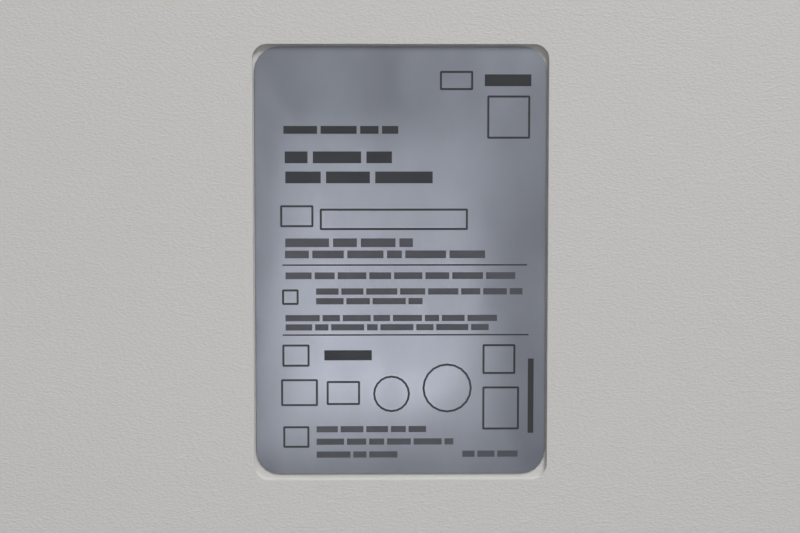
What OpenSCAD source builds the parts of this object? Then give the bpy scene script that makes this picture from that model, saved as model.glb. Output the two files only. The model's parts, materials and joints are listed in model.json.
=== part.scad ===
// Benchtop capillary sequencer: a bench instrument with a lift-up door, a cartridge bay,
// a three-axis sampler, a touchscreen and a recessed rating plate on its rear cover.
// Millimetres. +Z up, front towards -Y, origin at the middle of the footprint on the bench.

/* [Body] */
// Width of the housing
body_w = 495; // [470:1:560]
// Depth of the housing
body_d = 648; // [630:1:700]
// Height from the bench to the top
body_h = 442; // [430:1:500]
// Wall of the moulded covers
wall = 3; // [2.5:0.1:3.6]
// Height of the rubber feet
foot_h = 14; // [10:1:18]
// Radius of the feet
foot_r = 20; // [14:1:24]
// Gap at the seams between covers
seam_gap = 0.8; // [0.5:0.1:1.2]
// Radius of the long edges along the top
top_edge_r = 20; // [16:1:24]
// Radius of the front corners, seen from above
front_corner_r = 26; // [16:1:30]
// Radius of the rear corners, seen from above
rear_corner_r = 16; // [10:1:20]
// Radius of the top edge at the front
front_edge_r = 22; // [16:1:26]
// Radius of the top edge at the rear
rear_edge_r = 10; // [6:1:14]
// Radius of the bowed front face
bow_r = 1870; // [1500:10:2400]
// Thickness of the chassis sheet
sheet = 2; // [1.5:0.1:2.5]

/* [Door] */
// Width of the door
door_w = 309.5; // [300:0.5:320]
// Depth of the door, from the front face to its rear edge
door_depth = 59; // [54:1:66]
// Height of the plinth under the door
plinth_h = 60; // [54:1:64]
// Radius of the barrel that the door turns on
barrel_r = 10; // [9:0.5:12]
// Diameter of the hinge shaft
hinge_shaft_d = 6; // [5:0.5:7]

/* [Rating plate] */
// Width of the rating plate
plate_w = 59.8; // [50:0.1:72]
// Height of the rating plate
plate_h = 88; // [74:0.5:100]
// Thickness of the rating plate
plate_t = 0.3; // [0.2:0.05:0.5]
// Corner radius of the rating plate
plate_corner_r = 5; // [3:0.5:8]
// Depth of the recess that holds the plate
recess_depth = 1.2; // [0.8:0.1:1.6]
// Space between the plate and the side walls of its recess
recess_side_gap = 0.3; // [0.2:0.1:1.5]
// Space between the plate and the end walls of its recess
recess_end_gap = 0.7; // [0.2:0.1:1.5]
// Plate centre from the middle of the rear
plate_x = 120; // [100:1:130]
// Plate centre above the bench
plate_z = 300; // [270:1:330]

/* [Screen] */
// Width of the touchscreen glass
screen_w = 144; // [120:1:148]
// Height of the touchscreen glass
screen_h = 110; // [90:1:124]
// Screen centre above the bench
screen_z = 330; // [310:1:340]
// Radius of the power button
button_r = 10; // [8:0.5:12]
// Travel of the power button
button_travel = 2.5; // [1.5:0.5:3]

/* [Sampler] */
// Distance between neighbouring wells
well_pitch = 9; // [9:9]
// Radius of a well
well_r = 2.9; // [2.4:0.1:3.3]
// Height of the sample plate
sample_plate_h = 16; // [14:1:18]
// Radius of a capillary tip
tip_r = 0.6; // [0.4:0.1:0.8]
// Diameter of the sampler's lead screws
screw_d = 8; // [6:0.5:9]
// Play between a shaft and the hole that it turns or slides in
running_gap = 0.05; // [0.03:0.01:0.08]

/* [Cartridge] */
// Width of the cartridge
cartridge_w = 110; // [100:1:116]
// Length of the cartridge, front to back
cartridge_d = 160; // [150:1:164]
// Height of the cartridge
cartridge_h = 140; // [130:1:146]
// Wall of the cartridge mouldings
cartridge_wall = 3; // [2:0.5:4]
// Clearance between pieces that slide past each other
slide_gap = 0.3; // [0.2:0.1:0.5]

/* [Electrics] */
// Side of the square cooling fans
fan_size = 92; // [80:1:94]
// Depth of the cooling fans
fan_depth = 25; // [20:1:30]
// Width of the power inlet's flange
inlet_w = 60; // [58:1:64]
// Height of the power inlet's flange
inlet_h = 50; // [48:1:56]

/* [Hidden] */
$fn = 48;
arc_steps = 8;
bow_steps = 10;
eps = 0.01;
far = 1000;

// Outside faces and the chassis
front_y = -body_d / 2;
back_y = body_d / 2;
left_x = -body_w / 2;
right_x = body_w / 2;
floor_z = foot_h + sheet;
skirt_z = floor_z + 1;
bow_z = 190;
cover_gap = 8.5;
frame_out = right_x - wall - cover_gap;
frame_in = frame_out - sheet;
frame_top = body_h - barrel_r;
flange = 15;
bulkhead_gap = 21;
bulkhead_y = back_y - wall - bulkhead_gap;
rear_seam_y = back_y - rear_corner_r;
side_seam_x = right_x - top_edge_r;
pan_flange_h = 24;
pan_front = front_y + 22;
boss_r = 5;

// Door and its hinge
door_rear = front_y + door_depth;
door_right = left_x + door_w;
door_bottom = plinth_h + 2;
hinge_y = door_rear + 7;
hinge_z = frame_top;
hinge_r = hinge_shaft_d / 2;
top_seam_y = hinge_y + barrel_r + seam_gap;
frame_front = hinge_y;
center_x = door_right + 1.5;
ear_w = 6;
ear_r = 5.5;
shoulder_r = barrel_r + 2.9;
bezel_left = door_right + seam_gap;

// Sample chamber
liner_t = 3;
liner_r = 5;
flange_y = frame_front - sheet - liner_t;
chamber_cx = (center_x - frame_in) / 2;
chamber_side = 20.75;
chamber_w = center_x + frame_in - 2 * chamber_side;
chamber_floor = plinth_h + 13;
chamber_top = body_h - 62;
chamber_d = 245;
chamber_rear = flange_y + chamber_d;
wall_y = chamber_rear + liner_t;

// Sampler: the plate stands still at rest with one column of wells under the tips
columns = 12;
rows = 8;
tip_count = 4;
tip_x = chamber_cx;
tip_y = flange_y + 128;
sample_cx = tip_x + well_pitch / 2;
sample_cy = tip_y;
sample_w = 127.8;
sample_d = 85.5;
base_t = 5;
stage_z = chamber_floor + base_t;
rail_w = 12;
rail_h = 8;
y_rail_x = chamber_w / 2 - 33;
x_rail_y = 32;
block_h = 18;
plate5 = 5;
motor_side = 28;
screw_r = screw_d / 2;
screw_bore_r = screw_r + running_gap;
y_screw_z = stage_z + motor_side / 2;
y_plate_z = stage_z + 20;
x_stage_z = y_plate_z + plate5;
x_screw_z = x_stage_z + motor_side / 2;
x_plate_z = x_stage_z + 20;
x_top_z = x_plate_z + plate5;
platform_z = x_top_z + 6;
nest_z = platform_z + plate5;
nest_floor = 3;
sample_z = nest_z + nest_floor;
mat_z = sample_z + sample_plate_h;
mat_t = 3;
tip_z = mat_z + mat_t + 6;
nest_half_w = 72;
nest_front = sample_cy - 48;
nest_rear = sample_cy + 88;
y_motor_len = 21;
y_motor_y = chamber_rear - 1 - y_motor_len;
motor_tab = 60;
post_x = 30;
post_y = 12;
post_r = 3.5;
lift_screw_r = 2.5;

// Cartridge and its dock
head_z = tip_z + 17;
cart_z = head_z + 20;
cart_rear = chamber_rear - 12;
cart_front = cart_rear - cartridge_d;
cart_left = tip_x - cartridge_w / 2;
cart_right = tip_x + cartridge_w / 2;
cart_top = cart_z + cartridge_h;
barrel_x = tip_x + 30;
barrel_z = cart_z + 28;
syringe_r = 10;
pusher_r = 6;
optic_x = tip_x;
optic_z = cart_z + 85;
lens_r = 13;

// Rear fittings
bench_z = 190;
bench_t = 12;
deck_z = bench_z + bench_t;
fan_z = body_h - 112;
fan_left_x = left_x + 97.5;
vent_x = fan_left_x + 30;
vent_z = 90;
fan_right_x = fan_left_x + fan_size + 13;
bay_z0 = 36;
bay_z1 = 112;
rear_screw_x = right_x - 25.5;
rear_screw_low = 50;
rear_screw_high = body_h - 30;
inlet_x = right_x - 65.5;
bay_x0 = inlet_x - 142;
bay_x1 = inlet_x + inlet_w / 2 + 2.5;
inlet_z = (bay_z0 + bay_z1) / 2;
button_x = right_x - 51.5;
button_z = 128;

// Points along an arc, from angle a0 to a1
function arc(cx, cy, r, a0, a1, n = arc_steps) =
    [for (i = [0:n]) let (a = a0 + (a1 - a0) * i / n) [cx + r * cos(a), cy + r * sin(a)]];
// Depth and lean of the bowed front face at a height
function bow_y(z) = front_y + bow_r - sqrt(pow(bow_r, 2) - pow(z - bow_z, 2));
function bow_lean(z) = asin((z - bow_z) / bow_r);

// Outlines of the housing, inset by t: from the side, from above and from the front.
// The inset ones run on below the skirt, so the shell stays open underneath.
function side_outline(t) = let (
    cy = front_y + bow_r,
    low = t > 0 ? -10 : skirt_z,
    ez = body_h - front_edge_r,
    ey = cy - sqrt(pow(bow_r - front_edge_r, 2) - pow(ez - bow_z, 2)),
    a_low = 180 + asin((bow_z - low) / (bow_r - t)),
    a_high = atan2(ez - bow_z, ey - cy)
) concat(
    arc(cy, bow_z, bow_r - t, a_low, 180, bow_steps),
    arc(cy, bow_z, bow_r - t, 180, a_high, bow_steps),
    arc(ey, ez, front_edge_r - t, a_high - 4, 90),
    arc(back_y - rear_edge_r, body_h - rear_edge_r, rear_edge_r - t, 90, 0),
    [[back_y - t, low]]
);
function plan_outline(t) = concat(
    arc(right_x - front_corner_r, front_y + front_corner_r, front_corner_r - t, -90, 0),
    arc(right_x - rear_corner_r, back_y - rear_corner_r, rear_corner_r - t, 0, 90),
    arc(left_x + rear_corner_r, back_y - rear_corner_r, rear_corner_r - t, 90, 180),
    arc(left_x + front_corner_r, front_y + front_corner_r, front_corner_r - t, 180, 270)
);
function face_outline(t) = let (low = t > 0 ? -10 : skirt_z, c = t > 0 ? 0 : 2) concat(
    [[left_x + t, low + c], [left_x + t + c, low], [right_x - t - c, low], [right_x - t, low + c]],
    arc(right_x - top_edge_r, body_h - top_edge_r, top_edge_r - t, 0, 90),
    arc(left_x + top_edge_r, body_h - top_edge_r, top_edge_r - t, 90, 180)
);

// A box given by its low and high corners
module block(x0, x1, y0, y1, z0, z1) {
    translate([x0, y0, z0]) cube([x1 - x0, y1 - y0, z1 - z0]);
}
// A cylinder that runs along Y, from y0 to y1
module rod_y(x, z, r, y0, y1) {
    translate([x, y0, z]) rotate([-90, 0, 0]) cylinder(r = r, h = y1 - y0);
}
// A cylinder that runs along X, from x0 to x1
module rod_x(y, z, r, x0, x1) {
    translate([x0, y, z]) rotate([0, 90, 0]) cylinder(r = r, h = x1 - x0);
}
// A rectangle with true round corners, centred
module rounded_rect(w, h, r) {
    square([w - 2 * r, h], center = true);
    square([w, h - 2 * r], center = true);
    for (x = [-1, 1], y = [-1, 1]) translate([x * (w / 2 - r), y * (h / 2 - r)]) circle(r = r);
}
// A rounded rectangle in the X-Z plane, run from y0 to y1
module rounded_y(x, z, w, h, r, y0, y1) {
    translate([x, y1, z]) rotate([90, 0, 0]) linear_extrude(y1 - y0) rounded_rect(w, h, r);
}
// A rounded rectangle in the X-Y plane, run from z0 to z1
module rounded_z(x, y, w, h, r, z0, z1) {
    translate([x, y, z0]) linear_extrude(z1 - z0) rounded_rect(w, h, r);
}
// Rounded slots in a grid, cut along Y
module slots_y(x, z, w, h, slot_h, pitch, y0, y1) {
    n = floor((h - slot_h) / pitch);
    for (i = [0:n]) rounded_y(x, z - n * pitch / 2 + i * pitch, w, slot_h, slot_h / 2 - eps, y0, y1);
}
// The housing's outer form, inset by t
module housing(t) {
    intersection() {
        rotate([90, 0, 90]) linear_extrude(body_w + 2, center = true) polygon(side_outline(t));
        translate([0, 0, -20]) linear_extrude(body_h + 40) polygon(plan_outline(t));
        rotate([90, 0, 0]) linear_extrude(body_d + 2, center = true) polygon(face_outline(t));
    }
}
// Stands its children on the bowed front face, with their -Y pointing outwards
module on_bow(x, z) {
    translate([x, bow_y(z), z]) rotate([-bow_lean(z), 0, 0]) children();
}
// A stepper motor's square body with chamfered corners, along Z
module motor(side, len) {
    c = 3;
    s = side / 2;
    linear_extrude(len) polygon([
        [-s, c - s], [c - s, -s], [s - c, -s], [s, c - s], [s, s - c], [s - c, s], [c - s, s], [-s, s - c],
    ]);
}

// Chassis

module base_pan() {
    flange_top = floor_z + pan_flange_h;
    color("silver") difference() {
        union() {
            block(-frame_out - sheet, frame_out + sheet, pan_front, bulkhead_y + sheet, foot_h, floor_z);
            for (s = [0, 1]) mirror([s, 0, 0])
                block(frame_out, frame_out + sheet, pan_front, bulkhead_y + 2 * sheet, floor_z, flange_top);
            block(-frame_out, frame_out, pan_front, pan_front + sheet, floor_z, flange_top);
            block(-frame_out - sheet, frame_out + sheet, bulkhead_y + sheet, bulkhead_y + 2 * sheet,
                  foot_h, flange_top);
        }
        for (x = [-1, 1], y = [-1, 1]) foot_place(x, y) cylinder(r = 2.2, h = 3 * foot_h);
        for (i = [0:7]) rounded_z(right_x - 97.5, frame_front + 98 + i * 12, 60, 3.6, 1.7, 0, floor_z + 1);
    }
}

foot_inset_x = 45;
foot_inset_y = 74;
module foot_place(x, y) {
    translate([x * (right_x - foot_inset_x), y * (back_y - foot_inset_y), 0]) children();
}

module feet() {
    pad = 4;
    color("#2b2b2c") for (x = [-1, 1], y = [-1, 1]) foot_place(x, y) difference() {
        union() {
            cylinder(r1 = foot_r - 4, r2 = foot_r, h = foot_h - pad);
            translate([0, 0, foot_h - pad]) cylinder(r = foot_r, h = pad);
        }
        translate([0, 0, -1]) cylinder(r = foot_r / 3, h = foot_h - pad);
        cylinder(r = 2.2, h = foot_h + 1);
    }
}

module side_frames() {
    hole_r = 22;
    hole_step = (bulkhead_y - frame_front - 198) / 3;
    color("silver") for (s = [0, 1]) mirror([s, 0, 0]) difference() {
        union() {
            block(frame_in, frame_out, frame_front, bulkhead_y, floor_z, frame_top);
            block(frame_in - flange, frame_in, frame_front + 30, bulkhead_y, frame_top - sheet, frame_top);
            block(frame_in - flange, frame_in, frame_front, frame_front + sheet,
                  floor_z + 1, chamber_top + 12);
        }
        for (i = [0:3], z = [150, body_h - 142])
            rod_x(frame_front + 108 + i * hole_step, z, hole_r, frame_in - 1, frame_out + 1);
    }
}

module center_frame() {
    color("silver") difference() {
        union() {
            block(center_x, center_x + sheet, frame_front, bulkhead_y, floor_z, frame_top);
            rod_x(hinge_y, hinge_z, ear_r, center_x, center_x + sheet);
            block(-frame_in, center_x, wall_y, wall_y + sheet, floor_z, chamber_top + 30);
        }
        rod_x(hinge_y, hinge_z, hinge_r, center_x - 1, center_x + sheet + 1);
        rod_y(optic_x, optic_z, lens_r + 1, wall_y - 1, wall_y + sheet + 1);
        rod_y(barrel_x, barrel_z, pusher_r + 1, wall_y - 1, wall_y + sheet + 1);
        for (i = [0:2], z = [110, body_h - 112])
            rod_x(bulkhead_y - 240 + i * 90, z, 18, center_x - 1, center_x + sheet + 1);
    }
}

module front_frame() {
    top = chamber_top + 12;
    w = chamber_w + 2 * liner_t + 2 * slide_gap;
    h = chamber_top - chamber_floor + 2 * liner_t + 2 * slide_gap;
    color("silver") difference() {
        block(-frame_in, center_x, frame_front - sheet, frame_front, floor_z, top);
        rounded_y(chamber_cx, (chamber_top + chamber_floor) / 2, w, h, 12,
                  frame_front - sheet - 1, frame_front + 1);
        rod_y(bolt_x, bolt_z, bolt_r + slide_gap, frame_front - sheet - 1, frame_front + 1);
    }
}

module rear_bulkhead() {
    y0 = bulkhead_y - 1;
    y1 = bulkhead_y + sheet + 1;
    color("silver") difference() {
        block(-frame_out, frame_out, bulkhead_y, bulkhead_y + sheet, floor_z, frame_top);
        for (x = [fan_left_x, fan_right_x]) rod_y(x, fan_z, fan_size / 2 - 3, y0, y1);
        block(inlet_x - inlet_w / 2 + 3, inlet_x + inlet_w / 2 - 3, y0, y1,
              inlet_z - inlet_h / 2 + 3, inlet_z + inlet_h / 2 - 3);
        for (p = port_places) let (w = p[2] / 2 + 0.2, h = p[3] / 2 + 0.2)
            block(p[0] - w, p[0] + w, y0, y1, p[1] - h, p[1] + h);
        slots_y(vent_x, vent_z, 150, 60, 3.6, 10, y0, y1);
        for (p = rear_screw_places) rod_y(p[0], p[1], 1.7, y0, y1);
    }
}

// Covers

boss_front = frame_front + 58;
boss_rear = bulkhead_y - 40;
boss_low = 80;
boss_high = body_h - 62;
boss_places_side = [
    [boss_front, boss_low], [boss_front, boss_high], [(boss_front + boss_rear) / 2, boss_low + 150],
    [boss_rear, boss_low], [boss_rear, boss_high],
];

module left_side_cover() {
    x1 = -side_seam_x - seam_gap / 2;
    color("#d6d4cf") difference() {
        union() {
            difference() {
                intersection() {
                    housing(0);
                    union() {
                        block(-far, x1, door_rear + seam_gap, rear_seam_y - seam_gap, -1, far);
                        rod_x(hinge_y, hinge_z, shoulder_r, -far, x1);
                    }
                }
                housing(wall);
            }
            for (p = boss_places_side) rod_x(p[0], p[1], boss_r, left_x + wall - 0.5, -frame_out);
        }
        side_vents(left_x);
    }
}

module right_side_cover() {
    color("#d6d4cf") difference() {
        union() {
            difference() {
                intersection() {
                    housing(0);
                    block(side_seam_x + seam_gap / 2, far, door_rear + seam_gap,
                          rear_seam_y - seam_gap, -1, far);
                }
                housing(wall);
            }
            for (p = boss_places_side) rod_x(p[0], p[1], boss_r, frame_out, right_x - wall + 0.5);
        }
        block(0, far, -far, top_seam_y, hinge_z - seam_gap, far);
        side_vents(right_x);
    }
}

// Upright intake slots low down near the rear of a side cover
module side_vents(x) {
    for (i = [0:13]) translate([x, bulkhead_y - 160 + i * 8, vent_z]) rotate([0, 90, 0])
        linear_extrude(4 * wall, center = true) rounded_rect(60, 3.6, 1.79);
}

module top_cover() {
    color("#d6d4cf") union() {
        difference() {
            intersection() {
                housing(0);
                block(-side_seam_x + seam_gap / 2, side_seam_x - seam_gap / 2, top_seam_y,
                      rear_seam_y - seam_gap, body_h - 2 * wall, far);
            }
            housing(wall);
        }
        for (s = [-1, 1], y = [boss_front, (boss_front + boss_rear) / 2, boss_rear - 20])
            translate([s * (frame_in - flange + 4), y, frame_top])
                cylinder(r = 3.5, h = barrel_r - wall + 0.5);
    }
}

rear_screw_mid = (rear_screw_low + rear_screw_high) / 2;
rear_screw_places = [for (s = [-1, 1], z = [rear_screw_low, rear_screw_mid, rear_screw_high]) [s * rear_screw_x, z]];
grille_places = [
    [(fan_left_x + fan_right_x) / 2, fan_z, 2 * fan_size + 14, fan_size + 12],
    [vent_x, vent_z, 170, 78],
];

module rear_cover() {
    recess_w = plate_w + 2 * recess_side_gap;
    recess_h = plate_h + 2 * recess_end_gap;
    color("#d6d4cf") difference() {
        union() {
            difference() {
                intersection() {
                    housing(0);
                    block(-far, far, rear_seam_y, far, -1, far);
                }
                housing(wall);
            }
            for (p = rear_screw_places) rod_y(p[0], p[1], boss_r, bulkhead_y + sheet, back_y - wall + 0.5);
            difference() {
                block(bay_x0 - 2, bay_x1 + 2, bulkhead_y + 2 * sheet + eps, back_y - wall + 0.5,
                      bay_z0 - 2, bay_z1 + 2);
                block(bay_x0, bay_x1, bulkhead_y, back_y, bay_z0, bay_z1);
            }
        }
        rounded_y(plate_x, plate_z, recess_w, recess_h, 3, back_y - recess_depth, back_y + 1);
        for (g = grille_places) rounded_y(g[0], g[1], g[2], g[3], 4, back_y - wall - 1, back_y + 1);
        block(bay_x0, bay_x1, back_y - wall - 1, back_y + 1, bay_z0, bay_z1);
        for (p = rear_screw_places) {
            rod_y(p[0], p[1], 1.7, bulkhead_y, back_y + 1);
            rod_y(p[0], p[1], 4.3, back_y - 2.4, back_y + 1);
        }
    }
}

module rear_grilles() {
    lip = 5;
    color("#cfcdc8") for (g = grille_places) difference() {
        union() {
            rounded_y(g[0], g[1], g[2] - 2 * slide_gap, g[3] - 2 * slide_gap, 4, back_y - wall, back_y - 0.6);
            rounded_y(g[0], g[1], g[2] + 2 * lip, g[3] + 2 * lip, 6, back_y - wall - 2.5, back_y - wall);
        }
        half = (g[2] - 8) / 2;
        for (s = [-1, 1])
            slots_y(g[0] + s * half / 2, g[1], half - 8, g[3] - 10, 3.6, 7.6, back_y - 8, back_y + 1);
    }
}

module cover_screws() {
    head_y = back_y - 2.4;
    color("#8d9096") for (p = rear_screw_places) difference() {
        union() {
            rod_y(p[0], p[1], 1.6, bulkhead_y - 2, head_y + 0.5);
            rod_y(p[0], p[1], 3.8, head_y, head_y + 2.2);
        }
        translate([p[0], head_y + 0.9, p[1]]) rotate([-90, 0, 0]) cylinder(r = 1.5, h = 3, $fn = 6);
    }
}

module rating_plate() {
    color("#a9afba")
        rounded_y(plate_x, plate_z, plate_w, plate_h, plate_corner_r, back_y - recess_depth,
                  back_y - recess_depth + plate_t);
}

// Front bezel: the column that carries the screen, and the plinth under the door

bezel_cx = (bezel_left + right_x - front_corner_r) / 2;
ring_w = 3;
bezel_boss_z = [boss_low - 10, (boss_low + boss_high) / 2 - 5, boss_high];
screen_ring = 3.2;
glass_t = 2;
glass_back = 3.2;
finger_x = (left_x + door_right) / 2;
finger_w = 100;
finger_z = floor_z + pan_flange_h + wall + 1;
finger_rear = front_y + 26;

// The bezel's outline, and the hollow behind its walls
module bezel_zone() {
    block(bezel_left, far, -far, door_rear, -1, far);
    block(bezel_left, far, -far, top_seam_y - seam_gap, hinge_z, far);
    block(-far, far, -far, door_rear, -1, plinth_h);
}
module bezel_hollow() {
    block(bezel_left + wall, far, -far, far, -1, far);
    block(bezel_left - 1, far, door_rear, far, -1, far);
    block(-far, far, -far, far, -1, plinth_h - wall);
}

module front_bezel() {
    color("#d6d4cf") difference() {
        union() {
            difference() {
                intersection() {
                    housing(0);
                    bezel_zone();
                }
                intersection() {
                    housing(wall);
                    bezel_hollow();
                }
            }
            intersection() {
                housing(0);
                block(finger_x - finger_w / 2 - wall, finger_x + finger_w / 2 + wall, front_y,
                      finger_rear + wall, finger_z - wall, plinth_h);
            }
            on_bow(bezel_cx, screen_z) translate([0, screen_ring + 3, 0]) rotate([90, 0, 0])
                linear_extrude(3.4) rounded_rect(screen_w + 8, screen_h + 12, 10);
            for (z = bezel_boss_z) rod_y(frame_in - 7, z, boss_r, bow_y(z) + wall / 2, frame_front - eps);
            for (x = [-215, 40, 215]) rod_y(x, floor_z + 14, 4, bow_y(floor_z + 14) + wall / 2, pan_front);
        }
        rounded_y(finger_x, plinth_h, finger_w, 2 * (plinth_h - finger_z), 8, front_y - 1, finger_rear);
        on_bow(bezel_cx, screen_z) {
            translate([0, glass_back, 0]) rotate([90, 0, 0])
                linear_extrude(20)
                    rounded_rect(screen_w + 2 * slide_gap, screen_h + 2 * slide_gap, 8 + slide_gap);
            translate([0, 40, 0]) rotate([90, 0, 0]) linear_extrude(60)
                rounded_rect(screen_w - 12, screen_h - 12, 4);
        }
        on_bow(button_x, button_z) rod_y(0, 0, button_r + ring_w, -9, 20);
        for (i = [0:4])
            rounded_y(bezel_cx, floor_z + 10 + i * 6, 120, 2.6, 1.2, front_y - 1, bow_y(30) + 2 * wall);
    }
}

module screen_glass() {
    color("#0c0d10") on_bow(bezel_cx, screen_z) translate([0, glass_back, 0]) rotate([90, 0, 0])
        linear_extrude(glass_t) rounded_rect(screen_w, screen_h, 8);
}

module screen_module() {
    back = screen_ring + 3;
    color("#9aa0a6") on_bow(bezel_cx, screen_z) {
        block(-screen_w / 2 + 2, screen_w / 2 - 2, back, back + 6, -screen_h / 2 + 2, screen_h / 2 - 2);
        block(-50, 50, back + 6, back + 13, -30, 30);
    }
}

module power_ring() {
    outer = button_r + ring_w;
    color("#e8f1f6") on_bow(button_x, button_z) difference() {
        rod_y(0, 0, outer, 0.2, 14);
        rod_y(0, 0, button_r + slide_gap, -1, 11);
    }
}

module power_button() {
    color("#b9bcc0") on_bow(button_x, button_z) difference() {
        rod_y(0, 0, button_r, -0.6, 11 - button_travel - 0.5);
        rod_y(0, 0, button_r - 3, 2, 20);
    }
}

// Door

barrel_x0 = -side_seam_x + seam_gap / 2;

module door_zone() {
    block(-far, door_right, -far, door_rear, door_bottom, far);
    block(-far, door_right, -far, hinge_y, hinge_z, far);
}

module door_shell() {
    color("#d6d4cf") difference() {
        union() {
            difference() {
                intersection() {
                    housing(0);
                    door_zone();
                }
                intersection() {
                    housing(wall);
                    block(-far, door_right - wall, -far, far, door_bottom + wall, far);
                }
            }
            rod_x(hinge_y, hinge_z, barrel_r, barrel_x0, door_right);
        }
        rod_x(hinge_y, hinge_z, hinge_r + running_gap, -far, far);
        rod_x(hinge_y, hinge_z, shoulder_r + seam_gap, -far, barrel_x0);
    }
}

module door_liner() {
    rear = door_rear - 3;
    rib = 8;
    color("#55585c") difference() {
        union() {
            intersection() {
                housing(wall);
                block(-far, door_right - wall, rear - 3, rear, door_bottom + wall, hinge_z - 14);
            }
            for (z = [140:80:hinge_z - 52])
                block(left_x + 30, door_right - 30, rear - 3 - rib, rear - 3, z, z + 3);
            for (x = [-95, 0, 95]) translate([finger_x + x, 0, 0])
                block(0, 3, rear - 3 - rib, rear - 3, 100, hinge_z - 32);
        }
        rod_y(bolt_x, bolt_z, bolt_r + 1, rear - 13, rear + 1);
    }
}

module door_seal() {
    z = (chamber_top + chamber_floor) / 2;
    h = chamber_top - chamber_floor;
    color("#333436") difference() {
        rounded_y(chamber_cx, z, chamber_w + 14, h + 14, 12, door_rear - 3, flange_y - slide_gap);
        rounded_y(chamber_cx, z, chamber_w + 2, h + 2, 8, door_rear - 4, flange_y + 1);
    }
}

module hinge_shaft() {
    color("#c4c8cc") rod_x(hinge_y, hinge_z, hinge_r, -frame_in, center_x + sheet + ear_w);
}

module hinge_brackets() {
    foot_z = chamber_top + 16;
    color("#8d9096") for (x = [-frame_in, center_x + sheet]) difference() {
        union() {
            rod_x(hinge_y, hinge_z, ear_r, x, x + ear_w);
            block(x, x + ear_w, hinge_y - 5, hinge_y + 5, foot_z, hinge_z);
            block(x, x + ear_w, hinge_y - 5, hinge_y + 24, foot_z, foot_z + 14);
        }
        rod_x(hinge_y, hinge_z, hinge_r, x - 1, x + ear_w + 1);
    }
}

bolt_x = center_x - 9;
bolt_z = 230;
bolt_r = 3;

module interlock_solenoid() {
    color("#3d4d63") difference() {
        block(bolt_x - 7, bolt_x + 8, frame_front, frame_front + 32, bolt_z - 9, bolt_z + 9);
        rod_y(bolt_x, bolt_z, bolt_r + running_gap, frame_front - 1, frame_front + 26);
    }
}

module interlock_bolt() {
    color("#c4c8cc") rod_y(bolt_x, bolt_z, bolt_r, flange_y, frame_front + 24);
}

// Sample chamber

module chamber_liner() {
    z = (chamber_top + chamber_floor) / 2;
    h = chamber_top - chamber_floor;
    color("#5b5f64") difference() {
        union() {
            rounded_y(chamber_cx, z, chamber_w + 2 * liner_t, h + 2 * liner_t, 11, flange_y, wall_y);
            rounded_y(chamber_cx, z, chamber_w + 14, h + 14, 12, flange_y, flange_y + liner_t);
        }
        rounded_y(chamber_cx, z, chamber_w, h, liner_r, flange_y - 1, chamber_rear);
        rod_y(optic_x, optic_z, lens_r + 1, chamber_rear - 1, wall_y + 1);
        rod_y(barrel_x, barrel_z, pusher_r + 1, chamber_rear - 1, wall_y + 1);
    }
}

// Cartridge bay

module cartridge_dock() {
    side = 6;
    ledge = 10;
    z0 = cart_z - slide_gap - 6;
    front = cart_front + 20;
    rear_face = cart_rear + slide_gap;
    inner = cartridge_w / 2 + slide_gap;
    color("#6f7378") difference() {
        union() {
            for (s = [0, 1]) translate([tip_x, 0, 0]) mirror([s, 0, 0]) {
                block(inner, inner + side, front, chamber_rear, z0, cart_top + 12);
                block(inner - ledge, inner, front, chamber_rear, z0, cart_z - slide_gap);
            }
            block(tip_x - inner, tip_x + inner, front + 40, chamber_rear, cart_top + 8, cart_top + 12);
            block(tip_x - inner, tip_x + inner, rear_face, chamber_rear, z0, cart_top + 8);
        }
        rod_y(optic_x, optic_z, lens_r + 1, rear_face - 1, chamber_rear + 1);
        rod_y(barrel_x, barrel_z, pusher_r + 1, rear_face - 1, chamber_rear + 1);
    }
}

module cartridge_body() {
    t = cartridge_wall;
    color("#e9e8e4") difference() {
        union() {
            difference() {
                rounded_y(tip_x, (cart_z + cart_top) / 2, cartridge_w, cartridge_h, 6, cart_front, cart_rear);
                block(cart_left + t, cart_right + 1, cart_front + t, cart_rear - t, cart_z + t, cart_top - t);
            }
            rod_y(barrel_x, barrel_z, syringe_r + 2.5, cart_front + t, cart_rear - t);
            block(barrel_x - 3, barrel_x + 3, cart_front + t, cart_rear - t,
                  cart_z, barrel_z - syringe_r - 1);
            block(tip_x - 8, tip_x + 8, tip_y - 20, tip_y + 20, head_z, cart_z + 1);
        }
        rod_y(barrel_x, barrel_z, syringe_r, cart_front + t + 8, cart_rear + 1);
        for (i = [0:tip_count - 1]) translate([tip_x, tip_y_of(i), 0])
            translate([0, 0, head_z - 1]) cylinder(r = tip_r + 0.1, h = cart_z + t + 2 - head_z);
        rod_y(optic_x, optic_z, 8, cart_rear - t - 1, cart_rear + 1);
    }
}

module cartridge_cover() {
    t = cartridge_wall;
    color("#d9dcdf") difference() {
        intersection() {
            rounded_y(tip_x, (cart_z + cart_top) / 2, cartridge_w, cartridge_h, 6, cart_front, cart_rear);
            block(cart_right - t, cart_right, cart_front + t + slide_gap, cart_rear - t - slide_gap,
                  cart_z + t + slide_gap, cart_top - t - slide_gap);
        }
        for (i = [0:5]) translate([cart_right, cart_front + 40 + i * 12, 0])
            block(-1, 1, 0, 6, cart_z + 70, cart_top - 20);
    }
}

grip_z = cart_z + 112;
grip_half = 38;
grip_reach = 32;
grip_bar = 8;

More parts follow.
